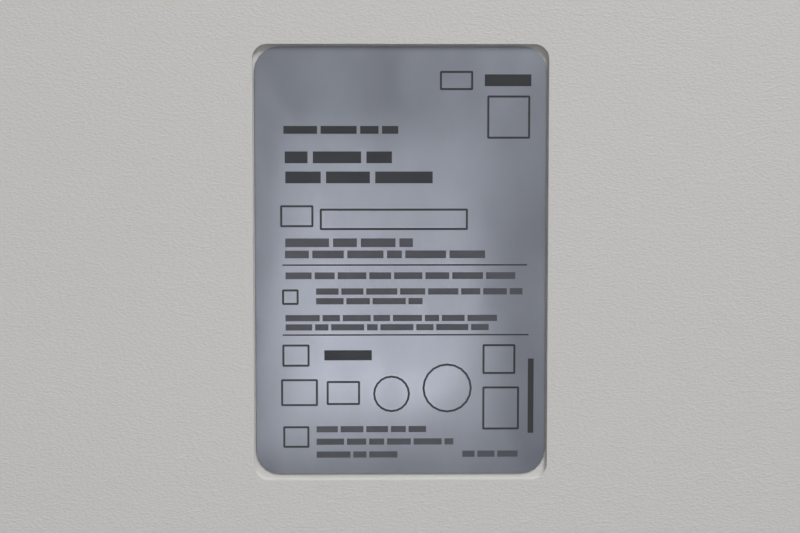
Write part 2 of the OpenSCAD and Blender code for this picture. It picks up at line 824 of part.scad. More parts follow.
module cartridge_grip() {
    y1 = cart_front - 4;
    y0 = y1 - grip_reach;
    color("#3f6f8f") union() {
        rounded_y(tip_x, (cart_z + cart_top) / 2, cartridge_w - 8, cartridge_h - 8, 5, y1, cart_front);
        difference() {
            rounded_z(tip_x, (y0 + y1) / 2 + 4, 2 * grip_half, grip_reach + 8, 8, grip_z - 7, grip_z + 7);
            rounded_z(tip_x, (y0 + y1 + grip_bar) / 2, 2 * (grip_half - grip_bar), grip_reach - grip_bar, 4,
                      grip_z - 8, grip_z + 8);
            block(-far, far, cart_front - 1, far, grip_z - 8, grip_z + 8);
        }
    }
}

// Where a capillary tip stands along Y, and how high it runs to the detection cell
function tip_y_of(i) = tip_y + well_pitch * (i - (tip_count - 1) / 2);
function run_z_of(i) = optic_z + 3 * ((tip_count - 1) / 2 - i);

module capillary_array() {
    bend = 20;
    cell_y = cart_rear - cartridge_wall - 14;
    color("#c9a45c") union() {
        for (i = [0:tip_count - 1]) {
            translate([tip_x, tip_y_of(i), tip_z]) cylinder(r = tip_r, h = run_z_of(i) - bend - tip_z);
            translate([tip_x, tip_y_of(i) + bend, run_z_of(i) - bend]) rotate([90, 0, 90])
                rotate([0, 0, 90]) rotate_extrude(angle = 90)
                    translate([bend, 0]) circle(r = tip_r, $fn = 16);
            rod_y(tip_x, run_z_of(i), tip_r, tip_y_of(i) + bend, cell_y + 1);
        }
        block(tip_x - 10, tip_x + 10, cell_y, cart_rear - cartridge_wall, optic_z - 13, optic_z + 13);
    }
}

module polymer_plunger() {
    y1 = cart_rear - 4.3;
    color("#2e2e30") difference() {
        rod_y(barrel_x, barrel_z, syringe_r - running_gap, y1 - 14, y1);
        for (y = [y1 - 10, y1 - 5]) translate([barrel_x, y, barrel_z]) rotate([-90, 0, 0]) difference() {
            cylinder(r = syringe_r + 1, h = 2);
            translate([0, 0, -1]) cylinder(r = syringe_r - 1, h = 4);
        }
    }
}

drive_y = wall_y + 75;

module polymer_drive() {
    side = 35;
    color("#4a4d52") union() {
        translate([barrel_x, drive_y, barrel_z]) rotate([-90, 0, 0]) motor(side, 32);
        difference() {
            block(barrel_x - 17, barrel_x + 17, wall_y + 14, drive_y + 32, deck_z, barrel_z - side / 2);
            block(barrel_x - 25, barrel_x + 25, wall_y + 26, drive_y - 6, deck_z + 3, barrel_z);
        }
        difference() {
            block(barrel_x - 17, barrel_x + 17, wall_y + 14, wall_y + 26, deck_z, barrel_z + 14);
            rod_y(barrel_x, barrel_z, pusher_r + running_gap, wall_y, drive_y - 1);
        }
    }
}

module polymer_pusher() {
    color("#c4c8cc") difference() {
        rod_y(barrel_x, barrel_z, pusher_r, cart_rear - 4, drive_y - 4);
        rod_y(barrel_x, barrel_z, 2.5, wall_y + 30, drive_y);
    }
}

// Sampler

module sampler_base() {
    y0 = flange_y + 16;
    half_w = chamber_w / 2 - liner_r - 0.5;
    color("#7d8287") union() {
        difference() {
            block(chamber_cx - half_w, chamber_cx + half_w, y0, chamber_rear - 2, chamber_floor, stage_z);
            for (x = [-60, 60]) translate([chamber_cx + x, tip_y, 0]) rounded_z(0, 0, 40, 120, 10, 0, far);
        }
        for (s = [-1, 1]) translate([chamber_cx + s * y_rail_x, 0, stage_z])
            block(-rail_w / 2, rail_w / 2, y0 + 4, chamber_rear - 6, 0, rail_h);
        translate([tip_x, y_motor_y, y_screw_z]) rotate([-90, 0, 0]) difference() {
            motor(motor_side, y_motor_len);
            translate([0, 0, -1]) cylinder(r = screw_bore_r, h = 8);
        }
        difference() {
            block(tip_x - 10, tip_x + 10, y0 + 2, y0 + 8, stage_z, y_screw_z + 5);
            rod_y(tip_x, y_screw_z, screw_bore_r, y0, y0 + 10);
        }
    }
}

module y_screw() {
    color("#c4c8cc") rod_y(tip_x, y_screw_z, screw_r, flange_y + 18.5, y_motor_y + 6);
}

// A saddle that rides on a rail running along Y, hung from the plate above it
module saddle(len, w) {
    difference() {
        block(-w / 2, w / 2, -len / 2, len / 2, -block_h, eps);
        block(-rail_w / 2 - slide_gap, rail_w / 2 + slide_gap, -len, len,
              -block_h - 1, rail_h + slide_gap - 20);
    }
}

module y_carriage() {
    x0 = chamber_cx - chamber_w / 2 + 16;
    x1 = chamber_cx + chamber_w / 2 - 16;
    color("#8f949a") difference() {
        union() {
            block(x0, x1, sample_cy - 45, sample_cy + 45, y_plate_z, x_stage_z);
            for (s = [-1, 1], y = [-26, 26]) translate([chamber_cx + s * y_rail_x, sample_cy + y, y_plate_z])
                saddle(34, 26);
            block(tip_x - 12, tip_x + 12, sample_cy - 12, sample_cy + 12, y_screw_z - 8, y_plate_z);
            for (s = [-1, 1]) block(x0 + 4, x1 - 4, sample_cy + s * x_rail_y - rail_w / 2,
                                    sample_cy + s * x_rail_y + rail_w / 2, x_stage_z, x_stage_z + rail_h);
            block(x0 + 4, x0 + 10, sample_cy - 10, sample_cy + 10, x_stage_z, x_screw_z + 7);
        }
        rod_y(tip_x, y_screw_z, screw_bore_r, sample_cy - 20, sample_cy + 20);
        rod_x(sample_cy, x_screw_z, screw_bore_r, x0 - 1, x0 + 20);
    }
}

x_motor_x = chamber_cx + chamber_w / 2 - 35;

module x_motor() {
    color("#3a3c40") translate([x_motor_x, sample_cy, x_screw_z]) rotate([0, 90, 0]) difference() {
        motor(motor_side, 19);
        translate([0, 0, -1]) cylinder(r = screw_bore_r, h = 8);
    }
}

module x_screw() {
    color("#c4c8cc") rod_x(sample_cy, x_screw_z, screw_r, chamber_cx - chamber_w / 2 + 21, x_motor_x + 6);
}

// The four guide posts of the lift, from a height
module post_places(z) {
    for (x = [-1, 1], y = [-1, 1])
        translate([sample_cx + x * post_x, sample_cy + y * post_y, z]) children();
}

module x_carriage() {
    tab_end = sample_cy + motor_tab + 16;
    color("#a3a8ae") difference() {
        union() {
            block(sample_cx - 40, sample_cx + 40, sample_cy - 45, sample_cy + 45, x_plate_z, x_top_z);
            block(sample_cx - 18, sample_cx + 18, sample_cy + 40, tab_end, x_plate_z, x_top_z);
            for (s = [-1, 1], x = [-24, 24]) translate([sample_cx + x, sample_cy + s * x_rail_y, x_plate_z])
                rotate([0, 0, 90]) saddle(30, 26);
            block(sample_cx - 12, sample_cx + 12, sample_cy - 10, sample_cy + 10, x_screw_z - 8, x_plate_z);
            post_places(x_top_z) cylinder(r = post_r + 3, h = 4);
        }
        rod_x(sample_cy, x_screw_z, screw_bore_r, sample_cx - 20, sample_cx + 20);
        post_places(x_plate_z - 1) cylinder(r = post_r + running_gap, h = 20);
        translate([sample_cx, sample_cy + motor_tab, x_plate_z - 1]) cylinder(r = lift_screw_r + 0.5, h = 20);
    }
}

module lift_motor() {
    len = 22;
    color("#3a3c40") translate([sample_cx, sample_cy + motor_tab, x_plate_z - len]) difference() {
        motor(motor_side, len);
        translate([0, 0, -1]) cylinder(r = lift_screw_r + running_gap, h = len + 2);
    }
}

module lift_platform() {
    color("#a3a8ae") union() {
        block(sample_cx - 45, sample_cx + 45, sample_cy - 40, sample_cy + motor_tab + 12, platform_z, nest_z);
        post_places(x_stage_z + 3) cylinder(r = post_r, h = platform_z - x_stage_z - 2);
        translate([sample_cx, sample_cy + motor_tab, x_plate_z - 22])
            cylinder(r = lift_screw_r, h = platform_z - x_plate_z + 23);
    }
}

rim_h = 9;
clamp_x = sample_cx + sample_w / 2 + 3.6;
clamp_y = sample_cy - 10;
clamp_len = 24;
clamp_pin_r = 1.5;

module plate_nest() {
    color("#4b4e53") difference() {
        block(sample_cx - nest_half_w, sample_cx + nest_half_w, nest_front, nest_rear,
              nest_z, sample_z + rim_h);
        rounded_z(sample_cx, sample_cy, sample_w + 2 * slide_gap, sample_d + 2 * slide_gap, 3, sample_z, far);
        rounded_z(sample_cx, buffer_y, buffer_w + 2 * slide_gap, buffer_d + 2 * slide_gap, 2, sample_z, far);
        block(sample_cx + sample_w / 2 - 1, far, clamp_y - 4.5, clamp_y + clamp_len + 5, sample_z, far);
        translate([clamp_x, clamp_y, nest_z + 1]) cylinder(r = clamp_pin_r + running_gap, h = nest_floor);
    }
}

module plate_clamp() {
    color("#c7793a") translate([clamp_x, clamp_y, sample_z + 0.1]) union() {
        cylinder(r = 3.2, h = 9);
        translate([0, 0, -1.8]) cylinder(r = clamp_pin_r, h = 2);
        block(-3.2, -0.4, 0, clamp_len, 0, 7);
        block(-0.5, 5, clamp_len - 6, clamp_len - 3, 0, 7);
    }
}

module well_grid(r, z0, z1) {
    for (c = [0:columns - 1], w = [0:rows - 1])
        translate([sample_cx + (c - (columns - 1) / 2) * well_pitch,
                   sample_cy + (w - (rows - 1) / 2) * well_pitch, z0]) cylinder(r = r, h = z1 - z0, $fn = 24);
}

module sample_plate() {
    skirt = 8;
    color("#e4ecee") difference() {
        union() {
            rounded_z(sample_cx, sample_cy, sample_w, sample_d, 3, sample_z, sample_z + skirt);
            rounded_z(sample_cx, sample_cy, sample_w - 5, sample_d - 5, 3, sample_z, mat_z);
        }
        well_grid(well_r, sample_z + 2, mat_z + 1);
    }
}

module septa_mat() {
    color("#c8ccd0") difference() {
        rounded_z(sample_cx, sample_cy, sample_w - 8, sample_d - 8, 2, mat_z, mat_z + mat_t);
        well_grid(tip_r + 0.4, mat_z - 1, mat_z + mat_t + 1);
    }
}

buffer_w = 100;
buffer_d = 34;
buffer_y = sample_cy + 66;

module buffer_reservoir() {
    top = mat_z + 2;
    color("#d7e6ee") difference() {
        rounded_z(sample_cx, buffer_y, buffer_w, buffer_d, 3, sample_z, top);
        for (s = [-1, 1]) {
            rounded_z(sample_cx + s * 25, buffer_y, 44, buffer_d - 5, 3, sample_z + 2, top - 3);
            rounded_z(sample_cx + s * 20, buffer_y, 30, buffer_d - 5, 3, sample_z + 3, top + 1);
        }
    }
}

// Optics and electrics

module optical_bench() {
    x0 = -frame_in + 6;
    x1 = center_x - 6;
    y0 = wall_y + sheet + 6;
    y1 = bulkhead_y - fan_depth - 12;
    color("#55595e") union() {
        block(x0, x1, y0, y1, bench_z, deck_z);
        for (x = [x0 + 16, x1 - 16], y = [y0 + 16, y1 - 16]) translate([x, y, floor_z])
            cylinder(r = 12, h = bench_z - floor_z + 1);
        for (i = [1:4]) block(x0 + i * 52, x0 + i * 52 + 5, y0, y1, bench_z - 16, bench_z + 1);
    }
}

module laser_module() {
    x0 = -frame_in + 14;
    y0 = wall_y + 30;
    color("#2c2e31") union() {
        block(x0, x0 + 46, y0, y0 + 150, deck_z, deck_z + 40);
        for (i = [0:8]) block(x0 + 1 + i * 5.3, x0 + 3 + i * 5.3, y0, y0 + 150, deck_z + 40, deck_z + 56);
        rod_y(x0 + 23, deck_z + 22, 9, y0 - 16, y0);
    }
}

module spectrograph() {
    x0 = optic_x - 42;
    x1 = optic_x + 42;
    y0 = wall_y + 46;
    y1 = y0 + 110;
    top = optic_z + 34;
    color("#1f2023") union() {
        block(x0, x1, y0 + 70, y1, deck_z, top);
        block(optic_x - 24, optic_x + 6, y0, y0 + 71, deck_z, top);
        rod_y(optic_x, optic_z, lens_r, cart_rear + 2, y0 + 1);
        rod_y(optic_x, optic_z, lens_r + 5, wall_y + sheet + 4, y0 + 1);
        block(optic_x - 22, optic_x + 22, y1, y1 + 34, optic_z - 22, optic_z + 22);
        for (i = [0:6]) translate([0, y1 + 8 + i * 4, 0])
            block(optic_x - 26, optic_x + 26, 0, 1.6, optic_z - 26, optic_z + 26);
    }
}

module hv_supply() {
    x0 = 22 - frame_in;
    y0 = wall_y + 75;
    y1 = bulkhead_y - 75;
    color("#7a3f36") union() {
        block(x0, x0 + 92, y0, y1, floor_z, floor_z + 74);
        for (y = [y0 + 30, y1 - 30]) translate([x0 + 46, y, floor_z + 74]) cylinder(r = 8, h = 14);
    }
}

module power_supply() {
    x0 = center_x + 20;
    x1 = frame_in - 46.5;
    y1 = bulkhead_y - 44;
    color("#b9bdc1") difference() {
        block(x0, x1, y1 - 180, y1, floor_z, floor_z + 52);
        for (i = [0:12]) translate([x0 + 12, y1 - 168 + i * 12, floor_z + 49]) cube([x1 - x0 - 24, 6, 4]);
    }
}

module main_board() {
    x0 = center_x + sheet;
    off = 6;
    side = 240;
    cy = frame_front + 198;
    cz = body_h / 2 + 19;
    color("#1f6b45") union() {
        for (y = [-112, 112], z = [-112, 112]) rod_x(cy + y, cz + z, 3, x0, x0 + off + eps);
        translate([x0 + off, cy, cz]) {
            block(0, 1.6, -side / 2, side / 2, -side / 2, side / 2);
            block(1, 12, 0, 60, -40, 20);
            for (i = [0:9]) block(11, 28, i * 6.4, i * 6.4 + 2, -40, 20);
            for (i = [0:3]) block(1, 14, -100, -60, -90 + i * 40, -70 + i * 40);
            for (z = [-90, -60, -30, 40, 70]) rod_x(95, z, 7, 1, 19);
            block(1, 8, -30, 80, 60, 90);
        }
    }
}

hub_r = 17;

module fan_housings() {
    bore = fan_size / 2 - 3;
    color("#232427") for (x = [fan_left_x, fan_right_x]) difference() {
        union() {
            difference() {
                rounded_y(x, fan_z, fan_size, fan_size, 5, bulkhead_y - fan_depth, bulkhead_y);
                rod_y(x, fan_z, bore, bulkhead_y - fan_depth - 1, bulkhead_y + 1);
            }
            rod_y(x, fan_z, hub_r + 1, bulkhead_y - fan_depth, bulkhead_y - fan_depth + 4);
            for (a = [45:90:315]) translate([x, bulkhead_y - fan_depth, fan_z]) rotate([0, a, 0])
                block(hub_r, bore + 1, 0, 3, -2, 2);
        }
        rod_y(x, fan_z, 1.5 + running_gap, bulkhead_y - fan_depth - 1, bulkhead_y);
    }
}

// A rotor: hub, shaft and seven blades set at an angle, clipped to the swept ring
module fan_rotor(x) {
    r = fan_size / 2 - 4.5;
    y0 = bulkhead_y - fan_depth + 4.5;
    h = fan_depth - 7;
    color("#1b1c1e") union() {
        rod_y(x, fan_z, hub_r, y0, y0 + h);
        rod_y(x, fan_z, 1.5, y0 - 4, y0 + 1);
        intersection() {
            rod_y(x, fan_z, r, y0 + 1, y0 + h - 1);
            for (i = [0:6]) translate([x, y0 + h / 2, fan_z]) rotate([0, i * 360 / 7, 0]) rotate([0, 0, 0])
                translate([hub_r - 3, 0, 0]) rotate([38, 0, 0]) block(0, r, -fan_depth, fan_depth, -0.9, 0.9);
        }
    }
}

module fan_rotor_left() fan_rotor(fan_left_x);
module fan_rotor_right() fan_rotor(fan_right_x);

// Power inlet: appliance socket below, fuse drawer above it, and the rocker switch beside them
socket_x = inlet_x - 11;
socket_z = inlet_z - 8;
drawer_z = inlet_z + 15;
rocker_x = inlet_x + 19;
rocker_w = 13;
rocker_h = 30;
drawer_w = 30;
drawer_h = 11;
flange_t = 3;
inlet_face = bulkhead_y + sheet + flange_t;
rocker_y = inlet_face - 8;
rocker_tilt = 7;
pivot_r = 1.5;

module inlet_module() {
    hw = inlet_w / 2;
    hh = inlet_h / 2;
    depth = 30;
    color("#222325") union() {
        difference() {
            union() {
                rounded_y(inlet_x, inlet_z, inlet_w, inlet_h, 3, bulkhead_y + sheet, inlet_face);
                block(inlet_x - hw + 3.3, inlet_x + hw - 3.3, bulkhead_y - depth, bulkhead_y + sheet + eps,
                      inlet_z - hh + 3.3, inlet_z + hh - 3.3);
            }
            rounded_y(socket_x, socket_z, 24.6, 16.6, 3, inlet_face - 17, inlet_face + 1);
            block(socket_x - drawer_w / 2 - slide_gap, socket_x + drawer_w / 2 + slide_gap, inlet_face - 27,
                  inlet_face + 1, drawer_z - drawer_h / 2 - slide_gap, drawer_z + drawer_h / 2 + slide_gap);
            block(rocker_x - rocker_w / 2 - slide_gap, rocker_x + rocker_w / 2 + slide_gap, inlet_face - 16,
                  inlet_face + 1, inlet_z - rocker_h / 2 - slide_gap, inlet_z + rocker_h / 2 + slide_gap);
        }
        for (p = [[-7, -2], [7, -2], [0, 2]]) translate([socket_x + p[0], 0, socket_z + p[1]])
            block(-1, 1, inlet_face - 18, inlet_face - 5.5, -2, 2);
        rod_x(rocker_y, inlet_z, pivot_r, rocker_x - rocker_w / 2 - 1, rocker_x - rocker_w / 2 + 2);
        rod_x(rocker_y, inlet_z, pivot_r, rocker_x + rocker_w / 2 - 2, rocker_x + rocker_w / 2 + 1);
    }
}

// The rocker: two faces that meet in a shallow V, tilted to one side of its pivot
module power_rocker() {
    outline = [
        [-5, -3], [4.5, -8], [5, -13.6], [9, -14.1], [8.3, 0], [9, 14.1], [5, 13.6], [4.5, 8], [-5, 3],
    ];
    color("#171819") translate([rocker_x, rocker_y, inlet_z]) rotate([90, 0, 90]) difference() {
        rotate([0, 0, rocker_tilt]) linear_extrude(rocker_w - 0.6, center = true) polygon(outline);
        cylinder(r = pivot_r + running_gap, h = rocker_w + 4, center = true);
    }
}

module fuse_drawer() {
    color("#2a2b2d") union() {
        difference() {
            block(socket_x - drawer_w / 2, socket_x + drawer_w / 2, inlet_face - 26, inlet_face + 1,
                  drawer_z - drawer_h / 2, drawer_z + drawer_h / 2);
            for (y = [-9, -18]) translate([socket_x, inlet_face + y, drawer_z])
                block(-12, 12, -3.2, 3.2, -3.2, drawer_h);
        }
        for (y = [-9, -18]) rod_x(inlet_face + y, drawer_z, 2.5, socket_x - 12 - eps, socket_x + 12 + eps);
    }
}

// Network and service sockets: x, z, width and height of each shell
port_x = inlet_x - 94;
usb_x = inlet_x - 60;
port_places = [
    [port_x, inlet_z + 4, 16, 13.6], [usb_x, inlet_z + 6, 14.6, 7.4], [usb_x, inlet_z - 12, 14.6, 7.4],
];

module data_ports() {
    shell_t = 1;
    color("#b4b8bc") union() {
        for (p = port_places) difference() {
            block(p[0] - p[2] / 2, p[0] + p[2] / 2, bulkhead_y - 18, bulkhead_y + sheet + 1,
                  p[1] - p[3] / 2, p[1] + p[3] / 2);
            block(p[0] - p[2] / 2 + shell_t, p[0] + p[2] / 2 - shell_t, bulkhead_y - 14, bulkhead_y + 10,
                  p[1] - p[3] / 2 + shell_t, p[1] + p[3] / 2 - shell_t);
        }
        for (i = [1, 2]) let (p = port_places[i])
            block(p[0] - 5.5, p[0] + 5.5, bulkhead_y - 15, bulkhead_y - 1, p[1] - 1.8, p[1] - 0.2);
        block(port_x - 12, usb_x + 12, bulkhead_y - 20, bulkhead_y - 18 + eps, inlet_z - 24, inlet_z + 18);
    }
}

base_pan();
feet();
side_frames();
center_frame();
front_frame();
rear_bulkhead();
left_side_cover();
right_side_cover();
top_cover();
rear_cover();
rear_grilles();
cover_screws();
rating_plate();
front_bezel();
screen_glass();
screen_module();
power_button();
power_ring();
door_shell();
door_liner();
door_seal();
hinge_shaft();
hinge_brackets();
interlock_solenoid();
interlock_bolt();
chamber_liner();
cartridge_dock();
cartridge_body();
cartridge_cover();
cartridge_grip();
capillary_array();
polymer_plunger();
polymer_drive();
polymer_pusher();
sampler_base();
y_screw();
y_carriage();
x_motor();
x_screw();
x_carriage();
lift_motor();
lift_platform();
plate_nest();
plate_clamp();
sample_plate();
septa_mat();
buffer_reservoir();
optical_bench();
laser_module();
spectrograph();
hv_supply();
power_supply();
main_board();
fan_housings();
fan_rotor_left();
fan_rotor_right();
inlet_module();
power_rocker();
fuse_drawer();
data_ports();
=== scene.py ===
"""Finishes for a benchtop capillary sequencer: moulded covers with a fine leather grain, a recessed
rating plate, a glass screen, a sampler with real lead screws, and a plain pale studio round them.
Metres, +Z up, front towards -Y. The rear cover with its rating plate faces +Y."""

import json
import math

import bmesh
import bpy
import numpy as np
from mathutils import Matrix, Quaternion, Vector

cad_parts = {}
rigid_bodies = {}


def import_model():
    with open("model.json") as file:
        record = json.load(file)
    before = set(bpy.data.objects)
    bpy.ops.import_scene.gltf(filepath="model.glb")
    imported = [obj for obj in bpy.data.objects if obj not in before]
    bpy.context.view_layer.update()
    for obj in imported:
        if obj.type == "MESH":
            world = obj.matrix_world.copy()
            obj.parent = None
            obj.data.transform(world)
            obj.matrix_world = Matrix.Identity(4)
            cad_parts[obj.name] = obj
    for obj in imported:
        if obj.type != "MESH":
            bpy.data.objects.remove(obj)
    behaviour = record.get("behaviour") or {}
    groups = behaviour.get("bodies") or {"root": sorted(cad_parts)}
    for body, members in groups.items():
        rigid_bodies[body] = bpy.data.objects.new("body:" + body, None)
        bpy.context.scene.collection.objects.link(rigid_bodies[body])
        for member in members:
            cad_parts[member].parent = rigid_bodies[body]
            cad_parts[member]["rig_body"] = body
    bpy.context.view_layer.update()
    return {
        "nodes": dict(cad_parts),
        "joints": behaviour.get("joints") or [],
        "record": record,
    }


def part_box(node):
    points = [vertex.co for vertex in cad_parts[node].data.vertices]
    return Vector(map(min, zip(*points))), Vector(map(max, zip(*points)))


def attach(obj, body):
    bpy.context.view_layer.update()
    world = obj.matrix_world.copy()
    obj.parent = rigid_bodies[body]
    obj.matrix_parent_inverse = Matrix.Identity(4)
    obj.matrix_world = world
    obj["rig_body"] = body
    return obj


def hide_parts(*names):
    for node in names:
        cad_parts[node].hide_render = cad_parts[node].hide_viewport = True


bl_info = {
    "name": "Benchtop sequencer finishes",
    "version": (1, 0, 0),
    "blender": (4, 5, 0),
    "location": "3D View > Sidebar > Sequencer",
    "description": "Dresses a benchtop sequencer and stands it in a plain studio",
    "category": "Object",
}

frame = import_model()
nodes = frame["nodes"]
slot_of = {part["node"]: part["material_slot"] for part in frame["record"]["subparts"]}
joint_of = {joint["name"]: joint for joint in frame["joints"]}
# The finishes by material slot, which the first operator makes
made = {}

MM = 0.001

# The print on the rating plate, in millimetres from its top left corner: right, down, width, height
PLATE_RULES = [(5.6, 44.45, 50.3), (5.6, 58.9, 50.7)]
PLATE_MARKS = [(56.2, 64.0, 1.2, 15.5)]
PLATE_FIELDS = [
    (37.9, 4.9, 6.8, 3.9), (47.6, 9.9, 8.8, 8.8), (5.2, 32.3, 6.8, 4.5), (13.3, 33.0, 30.4, 4.4),
    (5.5, 61.0, 5.6, 4.6), (5.5, 49.6, 3.4, 3.2), (46.8, 61.0, 6.8, 6.2), (5.2, 68.2, 7.6, 5.6),
    (14.6, 68.6, 6.9, 5.0), (46.8, 69.8, 7.6, 9.0), (5.6, 78.0, 5.4, 4.5),
]
PLATE_RINGS = [(24.2, 67.5, 7.6, 7.6), (34.4, 65.0, 10.2, 10.2)]
PLATE_HEADS = [
    (46.0, 5.6, 10.6, 2.4), (5.2, 16.1, 24.2, 1.6), (5.1, 21.3, 23.0, 2.4), (5.2, 25.4, 32.3, 2.4),
    (13.2, 62.2, 11.8, 2.1),
]
PLATE_ROWS = [
    (5.4, 39.1, 27.0, 1.8), (5.4, 41.6, 42.7, 1.6), (5.6, 46.1, 49.3, 1.4), (11.9, 49.4, 43.1, 1.3),
    (11.9, 51.4, 22.5, 1.3), (5.6, 54.9, 46.2, 1.3), (5.6, 56.8, 43.0, 1.3), (11.9, 78.0, 23.3, 1.3),
    (11.9, 80.6, 28.9, 1.3), (11.9, 83.3, 17.3, 1.3), (42.1, 83.2, 14.0, 1.3),
]

# The film's corner radius and the roundness of its cut edge, and the print's thickness and how deep the
# film takes it in
FILM_CORNER = 5 * MM
FILM_EDGE = 0.08 * MM
INK_THICK = 0.02 * MM
INK_SUNK = 0.004 * MM

# The sockets: from the edges of their board to the network socket, the bulkhead's sheet, the inlet's height
# and the service sockets, in millimetres
BOARD_EDGE = 12
BOARD_DEPTH = 20
BOARD_DROP = 24
# Inside them, in millimetres: how far their backs lie behind the sheet, the network socket's height above
# the inlet, its lining (width, height, depth, wall) and its contacts, each along a path (out from the sheet,
# up from the middle), and the service sockets' heights and their tongue (width, depth, thickness)
SOCKET_BACK = 13.9
NET_RISE = 4
NET_LINING = (13.9, 11.5, 13.4, 1.1)
CONTACT_PATH = [(-12.5, 4.2), (-3.4, 4.2), (-2.7, 4.0), (-2.5, 3.5), (-2.9, 3.1), (-9.0, 0.6)]
CONTACT_HALF = 0.2
CONTACT_PITCH = 1.02
SERVICE_RISES = (5, -13)
TONGUE = (11.2, 13, 1.8)

# The rocker's face: how far its valley stands from the pivot, and how steeply each side rises from it
ROCKER_VALLEY = 8.3 * MM
ROCKER_RISE = 0.7 / 14.1

# The point on the rear that the camera looks at
AIM = (120.15 * MM, 323.4 * MM, 299.42 * MM)

# Lamps: name, place, what it is aimed at, width and power
LAMPS = [
    ("rear_ceiling", (-0.45, 1.6, 2.0), (0.05, 0.32, 0.25), 0.9, 39),
    ("rear_left_fill", (1.2, 1.7, 0.6), (0.05, 0.32, 0.25), 1.2, 2.2),
    ("rear_right_fill", (-0.9, 1.9, 0.7), (0.05, 0.32, 0.25), 1.2, 3.6),
    ("low_glint", (0.22, 1.4, 0.1), (0.12, 0.32, 0.3), 0.2, 3.4),
    ("front_softbox", (-0.8, -2.2, 1.1), (0, -0.2, 0.22), 1.0, 33),
    ("front_fill", (1.4, -1.5, 0.9), (0, -0.2, 0.22), 1.2, 12),
    ("right_fill", (1.9, 0.1, 1.0), (0, 0, 0.22), 1.2, 15),
    ("left_fill", (-1.9, 0, 0.9), (0, 0, 0.22), 1.2, 8),
]
# Lamps that only show in what is glossy
GLINTS = {"low_glint"}

# Points on each corner of a rounded rectangle
CORNER_STEPS = 6

# Half the floor's width, and the distances at which it begins and ends to fade into the room
FLOOR_HALF = 6.0
FLOOR_FADE = (0.7, 2.6)


# Colours and shader nodes


def linear(code):
    """The linear RGBA of an sRGB colour written as a hex code."""
    parts = [int(code[i : i + 2], 16) / 255 for i in (1, 3, 5)]
    return tuple(c / 12.92 if c <= 0.04045 else ((c + 0.055) / 1.055) ** 2.4 for c in parts) + (1.0,)


def add(tree, kind, values=None, **settings):
    """Adds a shader node: its settings, and numbers, colours or other nodes' outputs for its inputs."""
    node = tree.nodes.new(kind)
    for name, value in settings.items():
        setattr(node, name, value)
    for name, value in (values or {}).items():
        if isinstance(value, bpy.types.NodeSocket):
            tree.links.new(value, node.inputs[name])
        else:
            node.inputs[name].default_value = value
    return node


def paint(colour):
    """The linear RGBA of a hex code, or of a colour that is linear already."""
    return linear(colour) if isinstance(colour, str) else tuple(colour)[:3] + (1.0,)


def blank(name, colour, roughness, **shader):
    """A material with one principled shader, its plain settings on the shader's own sockets."""
    material = bpy.data.materials.new(name)
    material.use_nodes = True
    tree = material.node_tree
    principled = tree.nodes["Principled BSDF"]
    principled.inputs["Base Color"].default_value = paint(colour)
    principled.inputs["Roughness"].default_value = roughness
    for key, value in shader.items():
        principled.inputs[key.replace("_", " ")].default_value = value
    material.diffuse_color = paint(colour)
    return material, tree, principled


def spread(tree, principled, size_mm, dark, light, rough, stretch=(1, 1, 1), detail=3.0):
    """Soft patches, size_mm across, that shift the colour from dark to light and the roughness with it."""
    place = add(tree, "ShaderNodeTexCoord").outputs["Object"]
    turned = add(tree, "ShaderNodeMapping", {"Vector": place, "Scale": stretch}).outputs["Vector"]
    patch = add(tree, "ShaderNodeTexNoise", {"Vector": turned, "Scale": 1 / (size_mm * MM), "Detail": detail})
    mixed = add(tree, "ShaderNodeMix", data_type="RGBA")
    mixed.inputs[6].default_value = paint(dark)
    mixed.inputs[7].default_value = paint(light)
    tree.links.new(patch.outputs["Fac"], mixed.inputs[0])
    tree.links.new(mixed.outputs[2], principled.inputs["Base Color"])
    ranged = add(tree, "ShaderNodeMapRange", {"Value": patch.outputs["Fac"], "From Min": 0.3, "From Max": 0.7,
                                              "To Min": rough[0], "To Max": rough[1]})
    tree.links.new(ranged.outputs["Result"], principled.inputs["Roughness"])
    return turned


def relief(tree, principled, height, depth_mm):
    """Raises the surface by depth_mm where height is 1."""
    raised = add(tree, "ShaderNodeBump", {"Height": height, "Distance": depth_mm * MM, "Strength": 1.0})
    tree.links.new(raised.outputs["Normal"], principled.inputs["Normal"])


# Finishes


